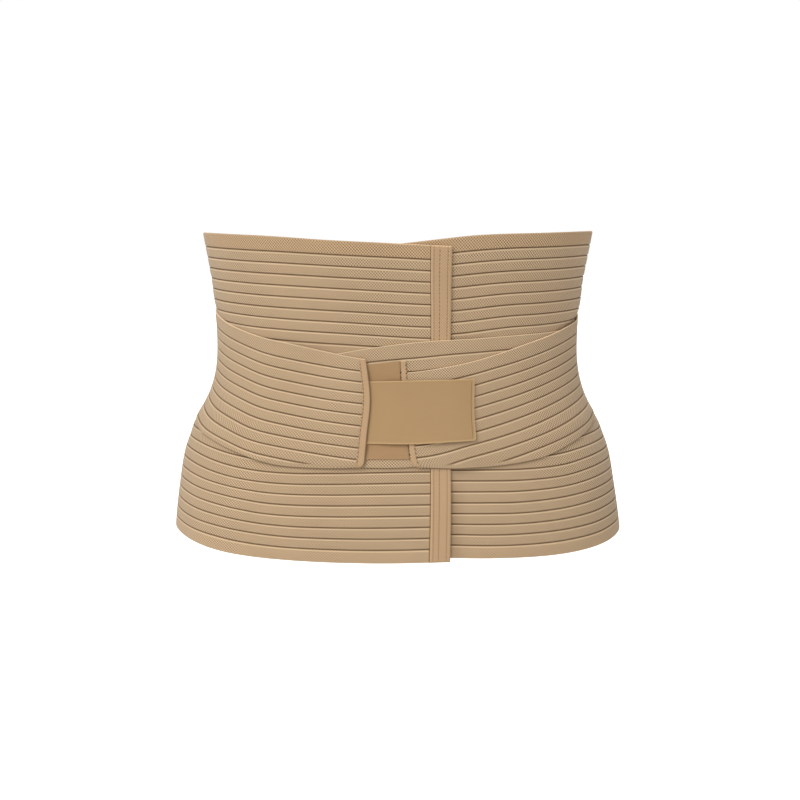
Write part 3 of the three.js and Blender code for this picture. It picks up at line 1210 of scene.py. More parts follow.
@dataclass
class ClothStrip:
    """Strip of cloth, cut flat and laid round the body.

    Its flat blank has x along the strip, y below zero down from its upper edge, and z 0 on the body side
    and 1 on the outer side.
    """

    name: str
    finish: ClothFinish
    thickness: float
    width: float
    start: float
    end: float
    edges: SmoothTable
    lift: Lift
    lean: Lean
    spacing: float
    middle: float = -0.045
    row_spacing: float = 0.002
    tuck: float = 0.0
    drops: bool = False

    def __post_init__(self) -> None:
        """Sets out the stations along the strip."""
        self.course = Course.between(self.start, self.end, self.middle, self.spacing, self.thickness)

    def rows(self) -> Array:
        """Distances of the rows of corners down from the upper edge.

        Returns:
            The distances, from the upper edge to the lower one.
        """
        edge = edge_steps(self.thickness)
        count = max(2, round(self.width / self.row_spacing))
        even = np.linspace(edge[-1], self.width - edge[-1], count)
        return np.concatenate([edge[:-1], even, (self.width - edge[:-1])[::-1]])

    def depths(self) -> Array:
        """Distance down of each corner, with a line for each station and a column for each row."""
        return np.tile(self.rows(), (len(self.course.along), 1))

    def height(self, angle: Array, down: Array) -> Array:
        """Height of a point of the flat cloth where it lies on the body."""
        top, bottom = self.edges(angle)
        return top + (bottom - top) * down / self.width

    def edge_distance(self, along: Array, down: Array) -> Array:
        """Distance of a point of the flat cloth to its nearest edge."""
        across = np.minimum(down, self.width - down)
        return np.clip(np.minimum(across, np.minimum(along, self.course.length - along)), 0, None)

    def outer_face(self, along: Array, down: Array) -> Array:
        """How far the outer face stands off the strip's body side."""
        return self.thickness - drawn_in(self.edge_distance(along, down), edge_radius(self.thickness))

    def body_face(self, along: Array, down: Array) -> Array:
        """How far the face next to the body stands off the strip's body side."""
        return drawn_in(self.edge_distance(along, down), edge_radius(self.thickness))

    def crease(self, along: Array, down: Array) -> Array:
        """Share of painted shade, none on a plain strip, with painted highlight below zero on its edges."""
        return -edge_light(self.edge_distance(along, down), self.thickness)

    def hem_share(self, along: Array, down: Array) -> Array:
        """Share of the hems' warmer colour."""
        return np.zeros(along.shape)

    def weave_place(self, along: Array, down: Array) -> tuple[Array, Array]:
        """Place of a point on the map that the weave follows: along the strip and up the body."""
        return along, self.height(self.course.angle(along), down)

    def extra_lift(self, along: Array, down: Array) -> Array:
        """Lift of the whole cloth, below zero where a strap or its tape comes down beside the hook tab.

        Args:
            along: Distances along the flat strip.
            down: Distances down from its upper edge.

        Returns:
            The lift at each point.
        """
        if not self.drops:
            return np.zeros(along.shape)
        angle = self.course.angle(along)
        return -settling(angle, self.height(angle, down), self.lift(angle), self.tuck)

    def laid(self, along: Array, down: Array, stand: Array) -> Array:
        """Points of the cloth where it lies round the body.

        Args:
            along: Distances along the flat strip.
            down: Distances down from its upper edge.
            stand: Distances out from its body side.

        Returns:
            One point in each row.
        """
        angle = self.course.angle(along)
        height = self.height(angle, down)
        lift = self.lift(angle) + stand + self.extra_lift(along, down)
        return BODY.lifted(angle + self.lean(angle, height), height, lift)

    def blank(self) -> bmesh.types.BMesh:
        """Cuts the flat blank and gives it its wall.

        Returns:
            The blank as a closed mesh.
        """
        depths = self.depths()
        columns, rows = depths.shape
        blank = bmesh.new()
        bmesh.ops.create_grid(blank, x_segments=columns - 1, y_segments=rows - 1, size=0.5)
        for corner in blank.verts:
            column = round((corner.co.x + 0.5) * (columns - 1))
            row = round((0.5 - corner.co.y) * (rows - 1))
            corner.co = (self.course.along[column], -depths[column, row], 0)
        bmesh.ops.remove_doubles(blank, verts=blank.verts[:], dist=MERGE_DISTANCE)
        made = bmesh.ops.extrude_face_region(blank, geom=blank.faces[:])["geom"]
        raised = [part for part in made if isinstance(part, bmesh.types.BMVert)]
        bmesh.ops.translate(blank, vec=(0, 0, 1), verts=raised)
        bmesh.ops.recalc_face_normals(blank, faces=blank.faces[:])
        return blank

    def build(self) -> bpy.types.Object:
        """Cuts, lays and dresses the strip.

        Returns:
            The finished piece.
        """
        blank = self.blank()
        mesh = bpy.data.meshes.new(self.name)
        blank.to_mesh(mesh)
        blank.free()
        flat = np.empty(len(mesh.vertices) * 3)
        mesh.vertices.foreach_get("co", flat)
        along, rise, side = flat.reshape(-1, 3).T
        down = -rise
        stand = np.where(side > 0.5, self.outer_face(along, down), self.body_face(along, down))
        mesh.vertices.foreach_set("co", self.laid(along, down, stand).ravel())
        self.map_flat(mesh, *self.weave_place(along, down))
        # Painted shade and painted highlight of the strip, read by its material.
        shade = mesh.attributes.new(PAINTED_SHADING, "FLOAT", "POINT")
        shade.data.foreach_set("value", self.crease(along, down))
        warm = mesh.attributes.new(HEM, "FLOAT", "POINT")
        warm.data.foreach_set("value", self.hem_share(along, down))
        return finished(self.name, mesh, self.finish)

    @staticmethod
    def map_flat(mesh: bpy.types.Mesh, along: Array, rise: Array) -> None:
        """Gives the mesh the map that its weave follows, in metres.

        Args:
            mesh: Mesh of the laid strip.
            along: Place of each corner along the strip.
            rise: Place of each corner up the body.
        """
        corners = np.empty(len(mesh.loops), int)
        mesh.loops.foreach_get("vertex_index", corners)
        places = np.stack([along[corners], rise[corners]], axis=-1)
        mesh.uv_layers.new(name=CLOTH_MAP).data.foreach_set("uv", places.ravel())


def finished(name: str, mesh: bpy.types.Mesh, finish: ClothFinish) -> bpy.types.Object:
    """Makes a piece of a mesh: smooth, dressed and riding on the body.

    Args:
        name: Name of the piece.
        mesh: Its mesh, in place.
        finish: Its finish.

    Returns:
        The piece.
    """
    mesh.shade_smooth()
    mesh.set_sharp_from_angle(angle=math.radians(SHARP_ANGLE))
    mesh.materials.append(finish.material())
    made = bpy.data.objects.new(name, mesh)
    bpy.context.scene.collection.objects.link(made)
    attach(made, BODY_NAME)
    log.info("%s: %d faces", name, len(mesh.polygons))
    return made


@dataclass
class RibbedBelt(ClothStrip):
    """Ribbed elastic belt, whose ribs spread between its two edges.

    Its squeeze run, sag and side drop are set out in shares of its width, its lap's painted shadow in
    degrees.
    """

    ribbing: Ribbing = BELT_RIBS
    back_groove: float = 0.4
    squeeze: float = 0.052
    squeeze_run: Run = (0.35, 0.65)
    end_ease: float = 0.027
    end_ease_angles: Run = (338, 372)
    sag_peak: float = 0.33
    sag_fade: Run = (0.36, 0.6)
    under_sag: float = 0.0036
    under_angles: Run = (24, 47)
    under_start: float = 0.12
    under_growth: float = 0.90
    under_rise: float = 7.0
    over_sag: float = 0.0017
    over_angles: Run = (335, 375)
    side_drop: float = 0.0008
    side_front_angles: Run = (308, 335)
    side_back_angles: Run = (265, 295)
    side_start: float = 0.04
    side_fade: Run = (0.2, 0.4)
    hem_light: float = 0.09
    hem_light_run: float = 0.003
    low_hem_warmth: float = 0.35
    lap_light: float = 0.8
    lap_light_angles: Run = (350, 362)
    weave_across: float = 0.97
    weave_high: float = 0.90
    weave_low: float = 1.06
    weave_knee: float = -0.06
    tape_lap: float = 0.0
    tape_shade: float = 0.7
    tape_shadow: float = 0.001
    tape_shadow_core: float = 0.4
    tape_shadow_steps: tuple[float, ...] = (0.2, 0.4, 0.7, 1.0)
    lap_shade: float = 0.3
    lap_start: float = 6.3
    lap_rise: float = 2.0
    lap_run: float = 5.0
    lap_heights: Run = (-0.085, -0.11)
    pull: SmoothTable = SmoothTable(HIP_PULL)
    hip_top: float = -0.055
    hip_high: float = -0.090
    hip_middle: float = -0.117
    hip_low: float = -0.143
    hip_edge: float = -0.156

    def __post_init__(self) -> None:
        """Sets out the stations, with a few more in the painted shadow beside the tape on the front end."""
        super().__post_init__()
        beside = self.tape_shadow * np.array(self.tape_shadow_steps)
        self.course = self.course.with_more(self.course.length - self.tape_lap - beside)

    def height(self, angle: Array, down: Array) -> Array:
        """Height of a point: low ribs are squeezed, high ribs sag beside the lapped ends, and the hips pull.

        Args:
            angle: Angles round the body.
            down: Distances down from the upper edge.

        Returns:
            The height of each point.
        """
        top, bottom = self.edges(angle)
        share = down / self.width
        squeeze = self.squeeze - self.end_ease * smoothstep(*self.end_ease_angles, angle)
        lower = share + squeeze * smoothstep(*self.squeeze_run, share) * (1 - share)
        high = share / self.sag_peak * (1 - smoothstep(*self.sag_fade, share))
        sag = np.minimum(self.under_start + self.under_growth * high, self.under_rise * high)
        under = self.under_sag * (1 - smoothstep(*self.under_angles, angle)) * sag
        over = self.over_sag * smoothstep(*self.over_angles, angle) * high
        side = smoothstep(*self.side_back_angles, angle) * (1 - smoothstep(*self.side_front_angles, angle))
        high_ribs = 1 - smoothstep(*self.side_fade, share)
        dropped = self.side_drop * side * smoothstep(0, self.side_start, share) * high_ribs
        even = top + (bottom - top) * lower - under - over - dropped
        return even + self.hip_pull(angle, even)

    def hip_pull(self, angle: Array, height: Array) -> Array:
        """How far the ribs on the hips are pulled up from their even places.

        Args:
            angle: Angles round the body.
            height: Even heights of the ribs.

        Returns:
            The pull at each point.
        """
        high, middle, low = self.pull(angle)
        upper = smoothstep(self.hip_middle, self.hip_high, height)
        lower = smoothstep(self.hip_middle, self.hip_low, height)
        found = high * upper + middle * (1 - upper) * (1 - lower) + low * lower
        off_edge = smoothstep(self.hip_edge, self.hip_low, height)
        return found * off_edge * (1 - smoothstep(self.hip_high, self.hip_top, height))

    def rows(self) -> Array:
        """Distances of the rows down from the upper edge."""
        return self.ribbing.rows()

    def outer_face(self, along: Array, down: Array) -> Array:
        """How far the outer face stands off the strip's body side."""
        relief = self.ribbing.groove_depth * self.ribbing.groove_share(down)
        return super().outer_face(along, down) - relief

    def body_face(self, along: Array, down: Array) -> Array:
        """How far the face next to the body stands off the strip's body side, with shallow grooves."""
        relief = self.ribbing.groove_depth * self.ribbing.groove_share(down)
        return super().body_face(along, down) + self.back_groove * relief

    def weave_place(self, along: Array, down: Array) -> tuple[Array, Array]:
        """Place of a point on the weave's map, whose threads are stretched more above the hips.

        Args:
            along: Distances along the flat strip.
            down: Distances down from its upper edge.

        Returns:
            Places along the strip and up the body.
        """
        across, rise = super().weave_place(along, down)
        over = rise - self.weave_knee
        return self.weave_across * across, np.where(over > 0, self.weave_high, self.weave_low) * over

    def hem_share(self, along: Array, down: Array) -> Array:
        """Share of the hems' warmer colour, above the first groove and a little below the last."""
        low = np.where(down > self.ribbing.grooves[-1], self.low_hem_warmth, 0.0)
        return np.where(down < self.ribbing.grooves[0], 1.0, low)

    def crease(self, along: Array, down: Array) -> Array:
        """Share of painted shade in the grooves and painted shadow beside the tape and the lap, with painted
        highlight below zero on edges and lower hem.

        Args:
            along: Distances along the flat strip.
            down: Distances down from its upper edge.

        Returns:
            The shade at each point.
        """
        # Painted highlight on the lower hem and on the lapped end's upper edge.
        hem = self.hem_light * smoothstep(0, self.hem_light_run, down - self.ribbing.grooves[-1])
        lap = self.lap_light * smoothstep(*self.lap_light_angles, self.course.angle(along))
        high = lap * fading(down, edge_radius(self.thickness))
        edge = edge_light(self.edge_distance(along, down), self.thickness)
        beside = self.course.length - self.tape_lap - along
        near_tape = 1 - smoothstep(self.tape_shadow_core * self.tape_shadow, self.tape_shadow, beside)
        ribs = self.ribbing.shade(down) - hem
        shaded = np.maximum(ribs, self.tape_shade)
        return ribs + (shaded - ribs) * near_tape + self.lap_shadow(along, down) - high - edge

    def lap_shadow(self, along: Array, down: Array) -> Array:
        """Share of painted shadow on the under layer, low down beside the tape of the lapped end.

        Args:
            along: Distances along the flat strip.
            down: Distances down from its upper edge.

        Returns:
            The shade at each point.
        """
        angle = self.course.angle(along)
        height = self.height(angle, down)
        (front,) = BELT_FRONT.table(height)
        past = angle - (front - FULL_TURN + self.lap_start)
        beside = smoothstep(-self.lap_rise, 0, past) * (1 - smoothstep(0, self.lap_run, past))
        return self.lap_shade * beside * smoothstep(*self.lap_heights, height)


@dataclass
class RibbedStrap(ClothStrip):
    """Ribbed elastic strap, whose ribs follow its upper edge and run out into a hem along its lower edge."""

    ribbing: Ribbing = LEFT_RIBS
    pull: SmoothTable = SmoothTable(LEFT_RIB_PULL)
    hem: float = 0.0026
    hem_rows: tuple[float, ...] = (0.45, 0.7)
    run_out: float = 0.0009
    low_shade: float = 0.8
    high_light: float = 1.5

    def pulled(self, angle: Array, down: Array) -> Array:
        """How far the ribs at a distance down are pulled from their even places."""
        shift, stretch = self.pull(angle)
        return (shift + stretch * down) * smoothstep(0, self.ribbing.top_hem, down)

    def even_depth(self, along: Array, down: Array) -> Array:
        """Distance down of a point before its ribs were pulled."""
        return down - self.pulled(self.course.angle(along), down)

    def cut_width(self, angle: Array) -> Array:
        """Width that the strap is cut to at an angle."""
        top, bottom = self.edges(angle)
        return top - bottom

    def above_low_edge(self, along: Array, down: Array) -> Array:
        """Distance of a point of the flat cloth up from its lower edge."""
        return self.cut_width(self.course.angle(along)) - down

    def flat_size(self) -> tuple[float, float]:
        """Greatest width and the length of the flat strap."""
        return float(self.cut_width(self.course.angles).max()), self.course.length

    def depths(self) -> Array:
        """Distance down of each corner: the ribs' rows stop at the hem, whose rows follow the lower edge.

        Returns:
            The distances, with a line for each station and a column for each row.
        """
        angles = self.course.angles[:, None]
        cut = self.cut_width(angles)
        rows = self.ribbing.rows()[None, :]
        ribs = np.minimum(rows + self.pulled(angles, rows), cut - self.hem)
        hem = np.concatenate([edge_steps(self.thickness), self.hem * np.array(self.hem_rows)])
        return np.hstack([ribs, cut - np.sort(hem)[::-1]])

    def height(self, angle: Array, down: Array) -> Array:
        """Height of a point of the flat cloth where it lies on the body."""
        top, _ = self.edges(angle)
        return top - down

    def edge_distance(self, along: Array, down: Array) -> Array:
        """Distance of a point of the flat cloth to its nearest edge."""
        across = np.minimum(down, self.above_low_edge(along, down))
        return np.clip(np.minimum(across, np.minimum(along, self.course.length - along)), 0, None)

    def ribs_left(self, along: Array, down: Array) -> Array:
        """Share of the ribs' relief that is left near the hem."""
        return smoothstep(self.hem, self.hem + self.run_out, self.above_low_edge(along, down))

    def outer_face(self, along: Array, down: Array) -> Array:
        """How far the outer face stands off the strip's body side."""
        relief = self.ribbing.groove_depth * self.ribbing.groove_share(self.even_depth(along, down))
        return super().outer_face(along, down) - relief * self.ribs_left(along, down)

    def crease(self, along: Array, down: Array) -> Array:
        """Share of painted shade in the grooves and painted shadow on the lower edge, with painted highlight
        below zero on the upper edge.

        Args:
            along: Distances along the flat strip.
            down: Distances down from its upper edge.

        Returns:
            The shade at each point.
        """
        ribs = self.ribbing.shade(self.even_depth(along, down)) * self.ribs_left(along, down)
        radius = edge_radius(self.thickness)
        low = self.low_shade * fading(self.above_low_edge(along, down), radius)
        return ribs + low - self.high_light * fading(down, radius)


@dataclass
class EdgeBinding(ClothStrip):
    """Tape folded over the upright end of another piece and sewn through.

    Distances across it are counted from the host's end, growing away from the host.
    """

    host_thickness: float = 0.0
    host_end: float = 0.0
    outward: int = 1
    lap: float = 0.0015
    reach: float = 0.005
    rise: float = 0.0
    rise_run: Run = (-0.002, 0.001)
    slim_host: float = 0.0003
    tape: float = 0.00045
    clearance: float = 0.0001
    clearance_steps: tuple[float, ...] = (0.5, 2.0)
    first_station: float = 0.001
    station_gap: float = 0.0011
    fold_share: float = 0.5
    fold_steps: tuple[float, ...] = (0, 0.06, 0.2, 0.5, 1)
    seams: tuple[float, ...] = (0.0,)
    seam_depth: float = 0.00022
    seam_half_width: float = 0.0005
    seam_shade: float = 0.4
    corners: tuple[float, float] = (0.0008, 0.0008)
    end_light: float = 1.6
    lap_light: float = 0.0
    lap_light_run: float = 0.0012
    fold_shade: float = 0.0

    def __post_init__(self) -> None:
        """Sets out the stations across the tape, with three at each seam."""
        radius = self.fold_radius
        fold = self.reach - radius * np.array(self.fold_steps)
        step = np.array(self.clearance_steps) * self.clearance
        near = [seam + self.seam_half_width * share for seam in self.seams for share in (-1, 0, 1)]
        lap = -self.lap + edge_steps(self.tape)
        even = np.arange(-self.lap + self.first_station, self.reach - radius, self.station_gap)
        across = merged(lap, step, near, even, fold)
        if self.outward < 0:
            across = -across[::-1]
        speed = BODY.speed(self.host_end, self.middle)
        self.course = Course(self.host_end + across / speed, across)

    @property
    def fold_radius(self) -> float:
        """Radius of the fold at the outer edge of the tape."""
        return self.fold_share * self.top

    @property
    def top(self) -> float:
        """How far the tape's face stands off the host's body side."""
        return self.host_thickness + self.clearance + self.tape

    def height(self, angle: Array, down: Array) -> Array:
        """Height of a point of the tape where it lies on the body."""
        top, bottom = self.edges(angle)
        return top + self.rise + (bottom - top - self.rise) * down / self.width

    def host_here(self, down: Array) -> Array:
        """Thickness that the tape folds over, which is slim where it rises past the host's upper edge.

        Args:
            down: Distances down from the tape's upper end.

        Returns:
            The thickness at each distance.
        """
        if self.rise == 0:
            return np.full(down.shape, self.host_thickness)
        low, high = self.rise_run
        share = smoothstep(self.rise + low, self.rise + high, down)
        return self.slim_host + (self.host_thickness - self.slim_host) * share

    def face_here(self, down: Array) -> Array:
        """How far the tape's flat face stands off the host's body side."""
        return self.host_here(down) + self.clearance + self.tape

    def across(self, along: Array) -> Array:
        """Distance from the host's end, growing away from the host."""
        return self.outward * along

    def seam_share(self, along: Array) -> Array:
        """Share of a sewn line's depth, 1 on a sewn line and 0 beside it."""
        gaps = [np.abs(self.across(along) - seam) for seam in self.seams]
        return fading(np.min(gaps, axis=0), self.seam_half_width)

    def rounds(self, along: Array, down: Array) -> Array:
        """How far a face is drawn in at the fold and at the tape's two ends.

        Args:
            along: Distances across the tape.
            down: Distances down from its upper end.

        Returns:
            The depth at each point.
        """
        fold = drawn_in(np.clip(self.reach - self.across(along), 0, None), self.fold_radius)
        ends = drawn_in(np.clip(np.minimum(down, self.width - down), 0, None), edge_radius(self.thickness))
        return np.maximum(fold, ends) * (self.face_here(down) / self.top)

    def lap_round(self, along: Array) -> Array:
        """How far a face is drawn in at the edge that laps the host."""
        return drawn_in(np.clip(self.across(along) + self.lap, 0, None), edge_radius(self.tape))

    def outer_face(self, along: Array, down: Array) -> Array:
        """How far the tape's face stands off the host's body side."""
        round_off = np.maximum(self.rounds(along, down), self.lap_round(along))
        return self.face_here(down) - round_off - self.seam_depth * self.seam_share(along)

    def body_face(self, along: Array, down: Array) -> Array:
        """The underside: over the host where the tape laps it, and level with its body side past its end."""
        over_host = self.host_here(down) + self.clearance + self.lap_round(along)
        return np.where(self.across(along) < self.clearance, over_host, self.rounds(along, down))

    def crease(self, along: Array, down: Array) -> Array:
        """Share of painted shade on the sewn lines and the fold, with painted highlight below zero on upper
        and lapping edge.

        Args:
            along: Distances across the tape.
            down: Distances down from its upper end.

        Returns:
            The shade at each point.
        """
        end = self.end_light * fading(down, edge_radius(self.thickness))
        lap = self.lap_light * fading(self.across(along) + self.lap, self.lap_light_run)
        fold = self.fold_shade * fading(self.reach - self.across(along), self.fold_radius)
        return self.seam_shade * self.seam_share(along) + fold - np.maximum(end, lap)

    def laid(self, along: Array, down: Array, stand: Array) -> Array:
        """Points of the tape where it lies, with its outer corners rounded.

        Args:
            along: Distances across the tape.
            down: Distances down from its upper end.
            stand: Distances out from the host's body side.

        Returns:
            One point in each row.
        """
        high, low = self.corners
        high_cut = drawn_in(np.clip(down, 0, None), high)
        low_cut = drawn_in(np.clip(self.width - down, 0, None), low)
        near_fold = smoothstep(self.reach - 2 * max(high, low), self.reach, self.across(along))
        return super().laid(along - self.outward * np.maximum(high_cut, low_cut) * near_fold, down, stand)


@dataclass
class HookTab(ClothStrip):
    """Smooth tab with a raised rim, round front corners and a sewn line along its front end."""

    corner: float = 0.0016
    corner_fade: float = 0.016
    rim_height: float = 0.00028
    rim_width: float = 0.0016
    rim_power: float = 0.6
    rim_steps: tuple[float, ...] = (0.5, 1.0, 1.6)
    rim_light: float = 1.8
    rim_light_share: float = 0.6
    seam: float = 0.0026
    seam_depth: float = 0.00018
    seam_half_width: float = 0.0004
    seam_inset: Run = (0.001, 0.003)
    curl: float = 0.0009
    curl_width: float = 0.014
    curl_run: Run = (0.35, 0.7)

    def __post_init__(self) -> None:
        """Sets out the stations, closer together at the front end."""
        super().__post_init__()
        line = self.seam + self.seam_half_width * np.array([-1, 0, 1])
        self.course = self.course.with_more(self.course.length - np.concatenate([self.rim_rows(), line]))

    def rim_rows(self) -> Array:
        """Distances in from an edge where the rim needs a row of corners."""
        return np.array(self.rim_steps) * self.rim_width

    def rows(self) -> Array:
        """Distances of the rows down from the upper edge, closer together at the rim."""
        return merged(super().rows(), self.rim_rows(), self.width - self.rim_rows())

    def end_distance(self, along: Array) -> Array:
        """Distance to the front end."""
        return np.clip(self.course.length - along, 0, None)

    def edge_distance(self, along: Array, down: Array) -> Array:
        """Distance of a point of the flat cloth to its upper, lower or front edge."""
        across = np.minimum(down, self.width - down)
        return np.clip(np.minimum(across, self.end_distance(along)), 0, None)

    def rim(self, along: Array, down: Array) -> Array:
        """Height of the rim over the tab's face."""
        return self.rim_height * fading(self.edge_distance(along, down), self.rim_width) ** self.rim_power

    def seam_share(self, along: Array, down: Array) -> Array:
        """Share of the sewn line's depth, which stops short of the upper and lower edge.

        Args:
            along: Distances along the flat tab.
            down: Distances down from its upper edge.

        Returns:
            The share at each point.
        """
        gap = np.abs(self.end_distance(along) - self.seam)
        inside = smoothstep(*self.seam_inset, np.minimum(down, self.width - down))
        return fading(gap, self.seam_half_width) * inside

    def outer_face(self, along: Array, down: Array) -> Array:
        """How far the outer face stands off the tab's body side."""
        flat = super().outer_face(along, down)
        return flat + self.rim(along, down) - self.seam_depth * self.seam_share(along, down)

    def crease(self, along: Array, down: Array) -> Array:
        """Share of painted shade along the sewn line, with painted highlight below zero on the rim."""
        rim = fading(self.edge_distance(along, down), self.rim_light_share * self.rim_width)
        return self.seam_share(along, down) - self.rim_light * rim

    def extra_lift(self, along: Array, down: Array) -> Array:
        """The lower edge stands a little off the strap, away from the covered end.

        Args:
            along: Distances along the flat tab.
            down: Distances down from its upper edge.

        Returns:
            The lift at each point.
        """
        low = smoothstep(self.curl_width, 0, self.width - down)
        free = smoothstep(*self.curl_run, along / self.course.length)
        return self.curl * low * free

    def laid(self, along: Array, down: Array, stand: Array) -> Array:
        """Points of the tab where it lies, with its front corners rounded.

        Args:
            along: Distances along the flat tab.
            down: Distances down from its upper edge.
            stand: Distances out from its body side.

        Returns:
            One point in each row.
        """
        across = np.clip(np.minimum(down, self.width - down), 0, None)
        cut = drawn_in(across, self.corner)
        near_end = smoothstep(self.corner_fade, 0, self.end_distance(along))
        return super().laid(along - cut * near_end, down, stand)


# Sewing

@dataclass(frozen=True)
class Seam:
    """Row of stitches on the face of a piece, between two points of its flat cut."""

    host: ClothStrip
    start: tuple[float, float]
    stop: tuple[float, float]
    radius: float
    pitch: float = 0.0033
    stitch: float = 0.0019
    sink: float = 0.0001
    sides: int = 6
    rings: int = 4

    @classmethod
    def downward(cls, host: ClothStrip, along: float, depth: float, margin: float, radius: float) -> "Seam":
        """Row of stitches down a piece of a depth, with a margin at its upper and its lower edge."""
        return cls(host, (along, margin), (along, depth - margin), radius)

    def add_to(self, sewing: bmesh.types.BMesh) -> None:
        """Adds the row's stitches to a mesh.

        Args:
            sewing: Mesh that gets the stitches.
        """
        start = np.array(self.start)
        way = np.array(self.stop) - start
        length = float(np.linalg.norm(way))
        count = max(1, int(length / self.pitch))
        margin = (length - count * self.pitch) / 2
        for number in range(count):
            middle = margin + (number + 0.5) * self.pitch
            reach = np.array([-0.5, 0, 0.5]) * self.stitch
            flat = start + way / length * (middle + reach)[:, None]
            self.add_stitch(sewing, flat[:, 0], flat[:, 1])

    def add_stitch(self, sewing: bmesh.types.BMesh, along: Array, down: Array) -> None:
        """Adds one stitch.

        Args:
            sewing: Mesh that gets the stitch.
            along: Distances along the flat cut of the stitch's start, middle and stop.
            down: Distances down of the same three points.
        """
        face = self.host.outer_face(along, down)
        on_face = self.host.laid(along, down, face - self.sink)
        above = self.host.laid(along, down, face + self.radius)
        long = Vector(on_face[2] - on_face[0])
        out = Vector(above[1] - on_face[1]).normalized()
        side = out.cross(long).normalized()
        turned = Matrix((long.normalized(), side, side.cross(long).normalized() * -1)).transposed().to_4x4()
        sizes = Matrix.Diagonal((long.length / 2, self.radius, self.radius, 1))
        place = Matrix.Translation(Vector(on_face[1])) @ turned @ sizes
        bmesh.ops.create_uvsphere(
            sewing, u_segments=self.sides, v_segments=self.rings, radius=1, matrix=place
        )


def sew(name: str, seams: Sequence[Seam]) -> bpy.types.Object:
    """Sews several rows of stitches as one piece.

    Args:
        name: Name of the piece.
        seams: The rows.

    Returns:
        The piece.
    """
    sewing = bmesh.new()
    for seam in seams:
        seam.add_to(sewing)
    bmesh.ops.recalc_face_normals(sewing, faces=sewing.faces[:])
    mesh = bpy.data.meshes.new(name)
    sewing.to_mesh(mesh)
    sewing.free()
    return finished(name, mesh, THREAD)


# Sub-assemblies

@dataclass
class BeltAssembly:
    """The belt, the binding on its lapped end and the binding's sewing."""

    spacing: float = 0.005
    binding_lap: float = 0.0010
    binding_reach: float = 0.0142
    binding_light: float = 0.5
    binding_seams: tuple[float, ...] = (0.0012, 0.0053, 0.0111)
    stitch_radii: tuple[float, ...] = (0.0003, 0.0005, 0.0004)
    stitch_margin: float = 0.002
    high_stretch: float = 0.07
    low_stretch: float = -0.10
    stretch_heights: Run = (-0.15, 0.09)

    def build(self) -> dict[str, bpy.types.Object]:
        """Builds the pieces.

        Returns:
            The pieces by name.
        """
        edges = SmoothTable(BELT_EDGES)
        belt = RibbedBelt(
            name="main_belt_cloth",
            finish=RIBBED,
            thickness=BELT_RIBS.thickness,
            width=BELT_RIBS.width,
            start=BELT_START,
            end=BELT_FRONT.reach,
            edges=edges,
            lift=belt_lift,
            lean=BELT_FRONT.lean,
            spacing=self.spacing,
            tape_lap=self.binding_lap,
        )
        binding = EdgeBinding(
            name="front_binding_tape",
            finish=TAPE,
            thickness=BINDING_THICKNESS,
            width=BELT_RIBS.width,
            start=BELT_FRONT.reach,
            end=BELT_FRONT.reach,
            edges=edges,
            lift=belt_lift,
            lean=self.binding_lean,
            spacing=self.spacing,
            host_thickness=BELT_RIBS.thickness,
            host_end=BELT_FRONT.reach,
            lap=self.binding_lap,
            reach=self.binding_reach,
            seams=self.binding_seams,
            lap_light=self.binding_light,
        )
        rows = [
            Seam.downward(binding, seam, binding.width, self.stitch_margin, radius)
            for seam, radius in zip(self.binding_seams, self.stitch_radii)
        ]
        made = {
            "belt": belt.build(),
            "binding": binding.build(),
            "sewing": sew("front_binding_stitches", rows),
        }
        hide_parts("main_belt")
        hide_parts("front_binding")
        return made

    def binding_lean(self, angle: Array, height: Array) -> Array:
        """The tape leans with the belt's end and is a little wider at the top than at the bottom.

        Args:
            angle: Angles round the body.
            height: Heights on it.

        Returns:
            How many degrees each point moves.
        """
        share = smoothstep(*self.stretch_heights, height)
        stretch = self.low_stretch + (self.high_stretch - self.low_stretch) * share
        return BELT_FRONT.lean(angle, height) + (angle - BELT_FRONT.reach) * stretch


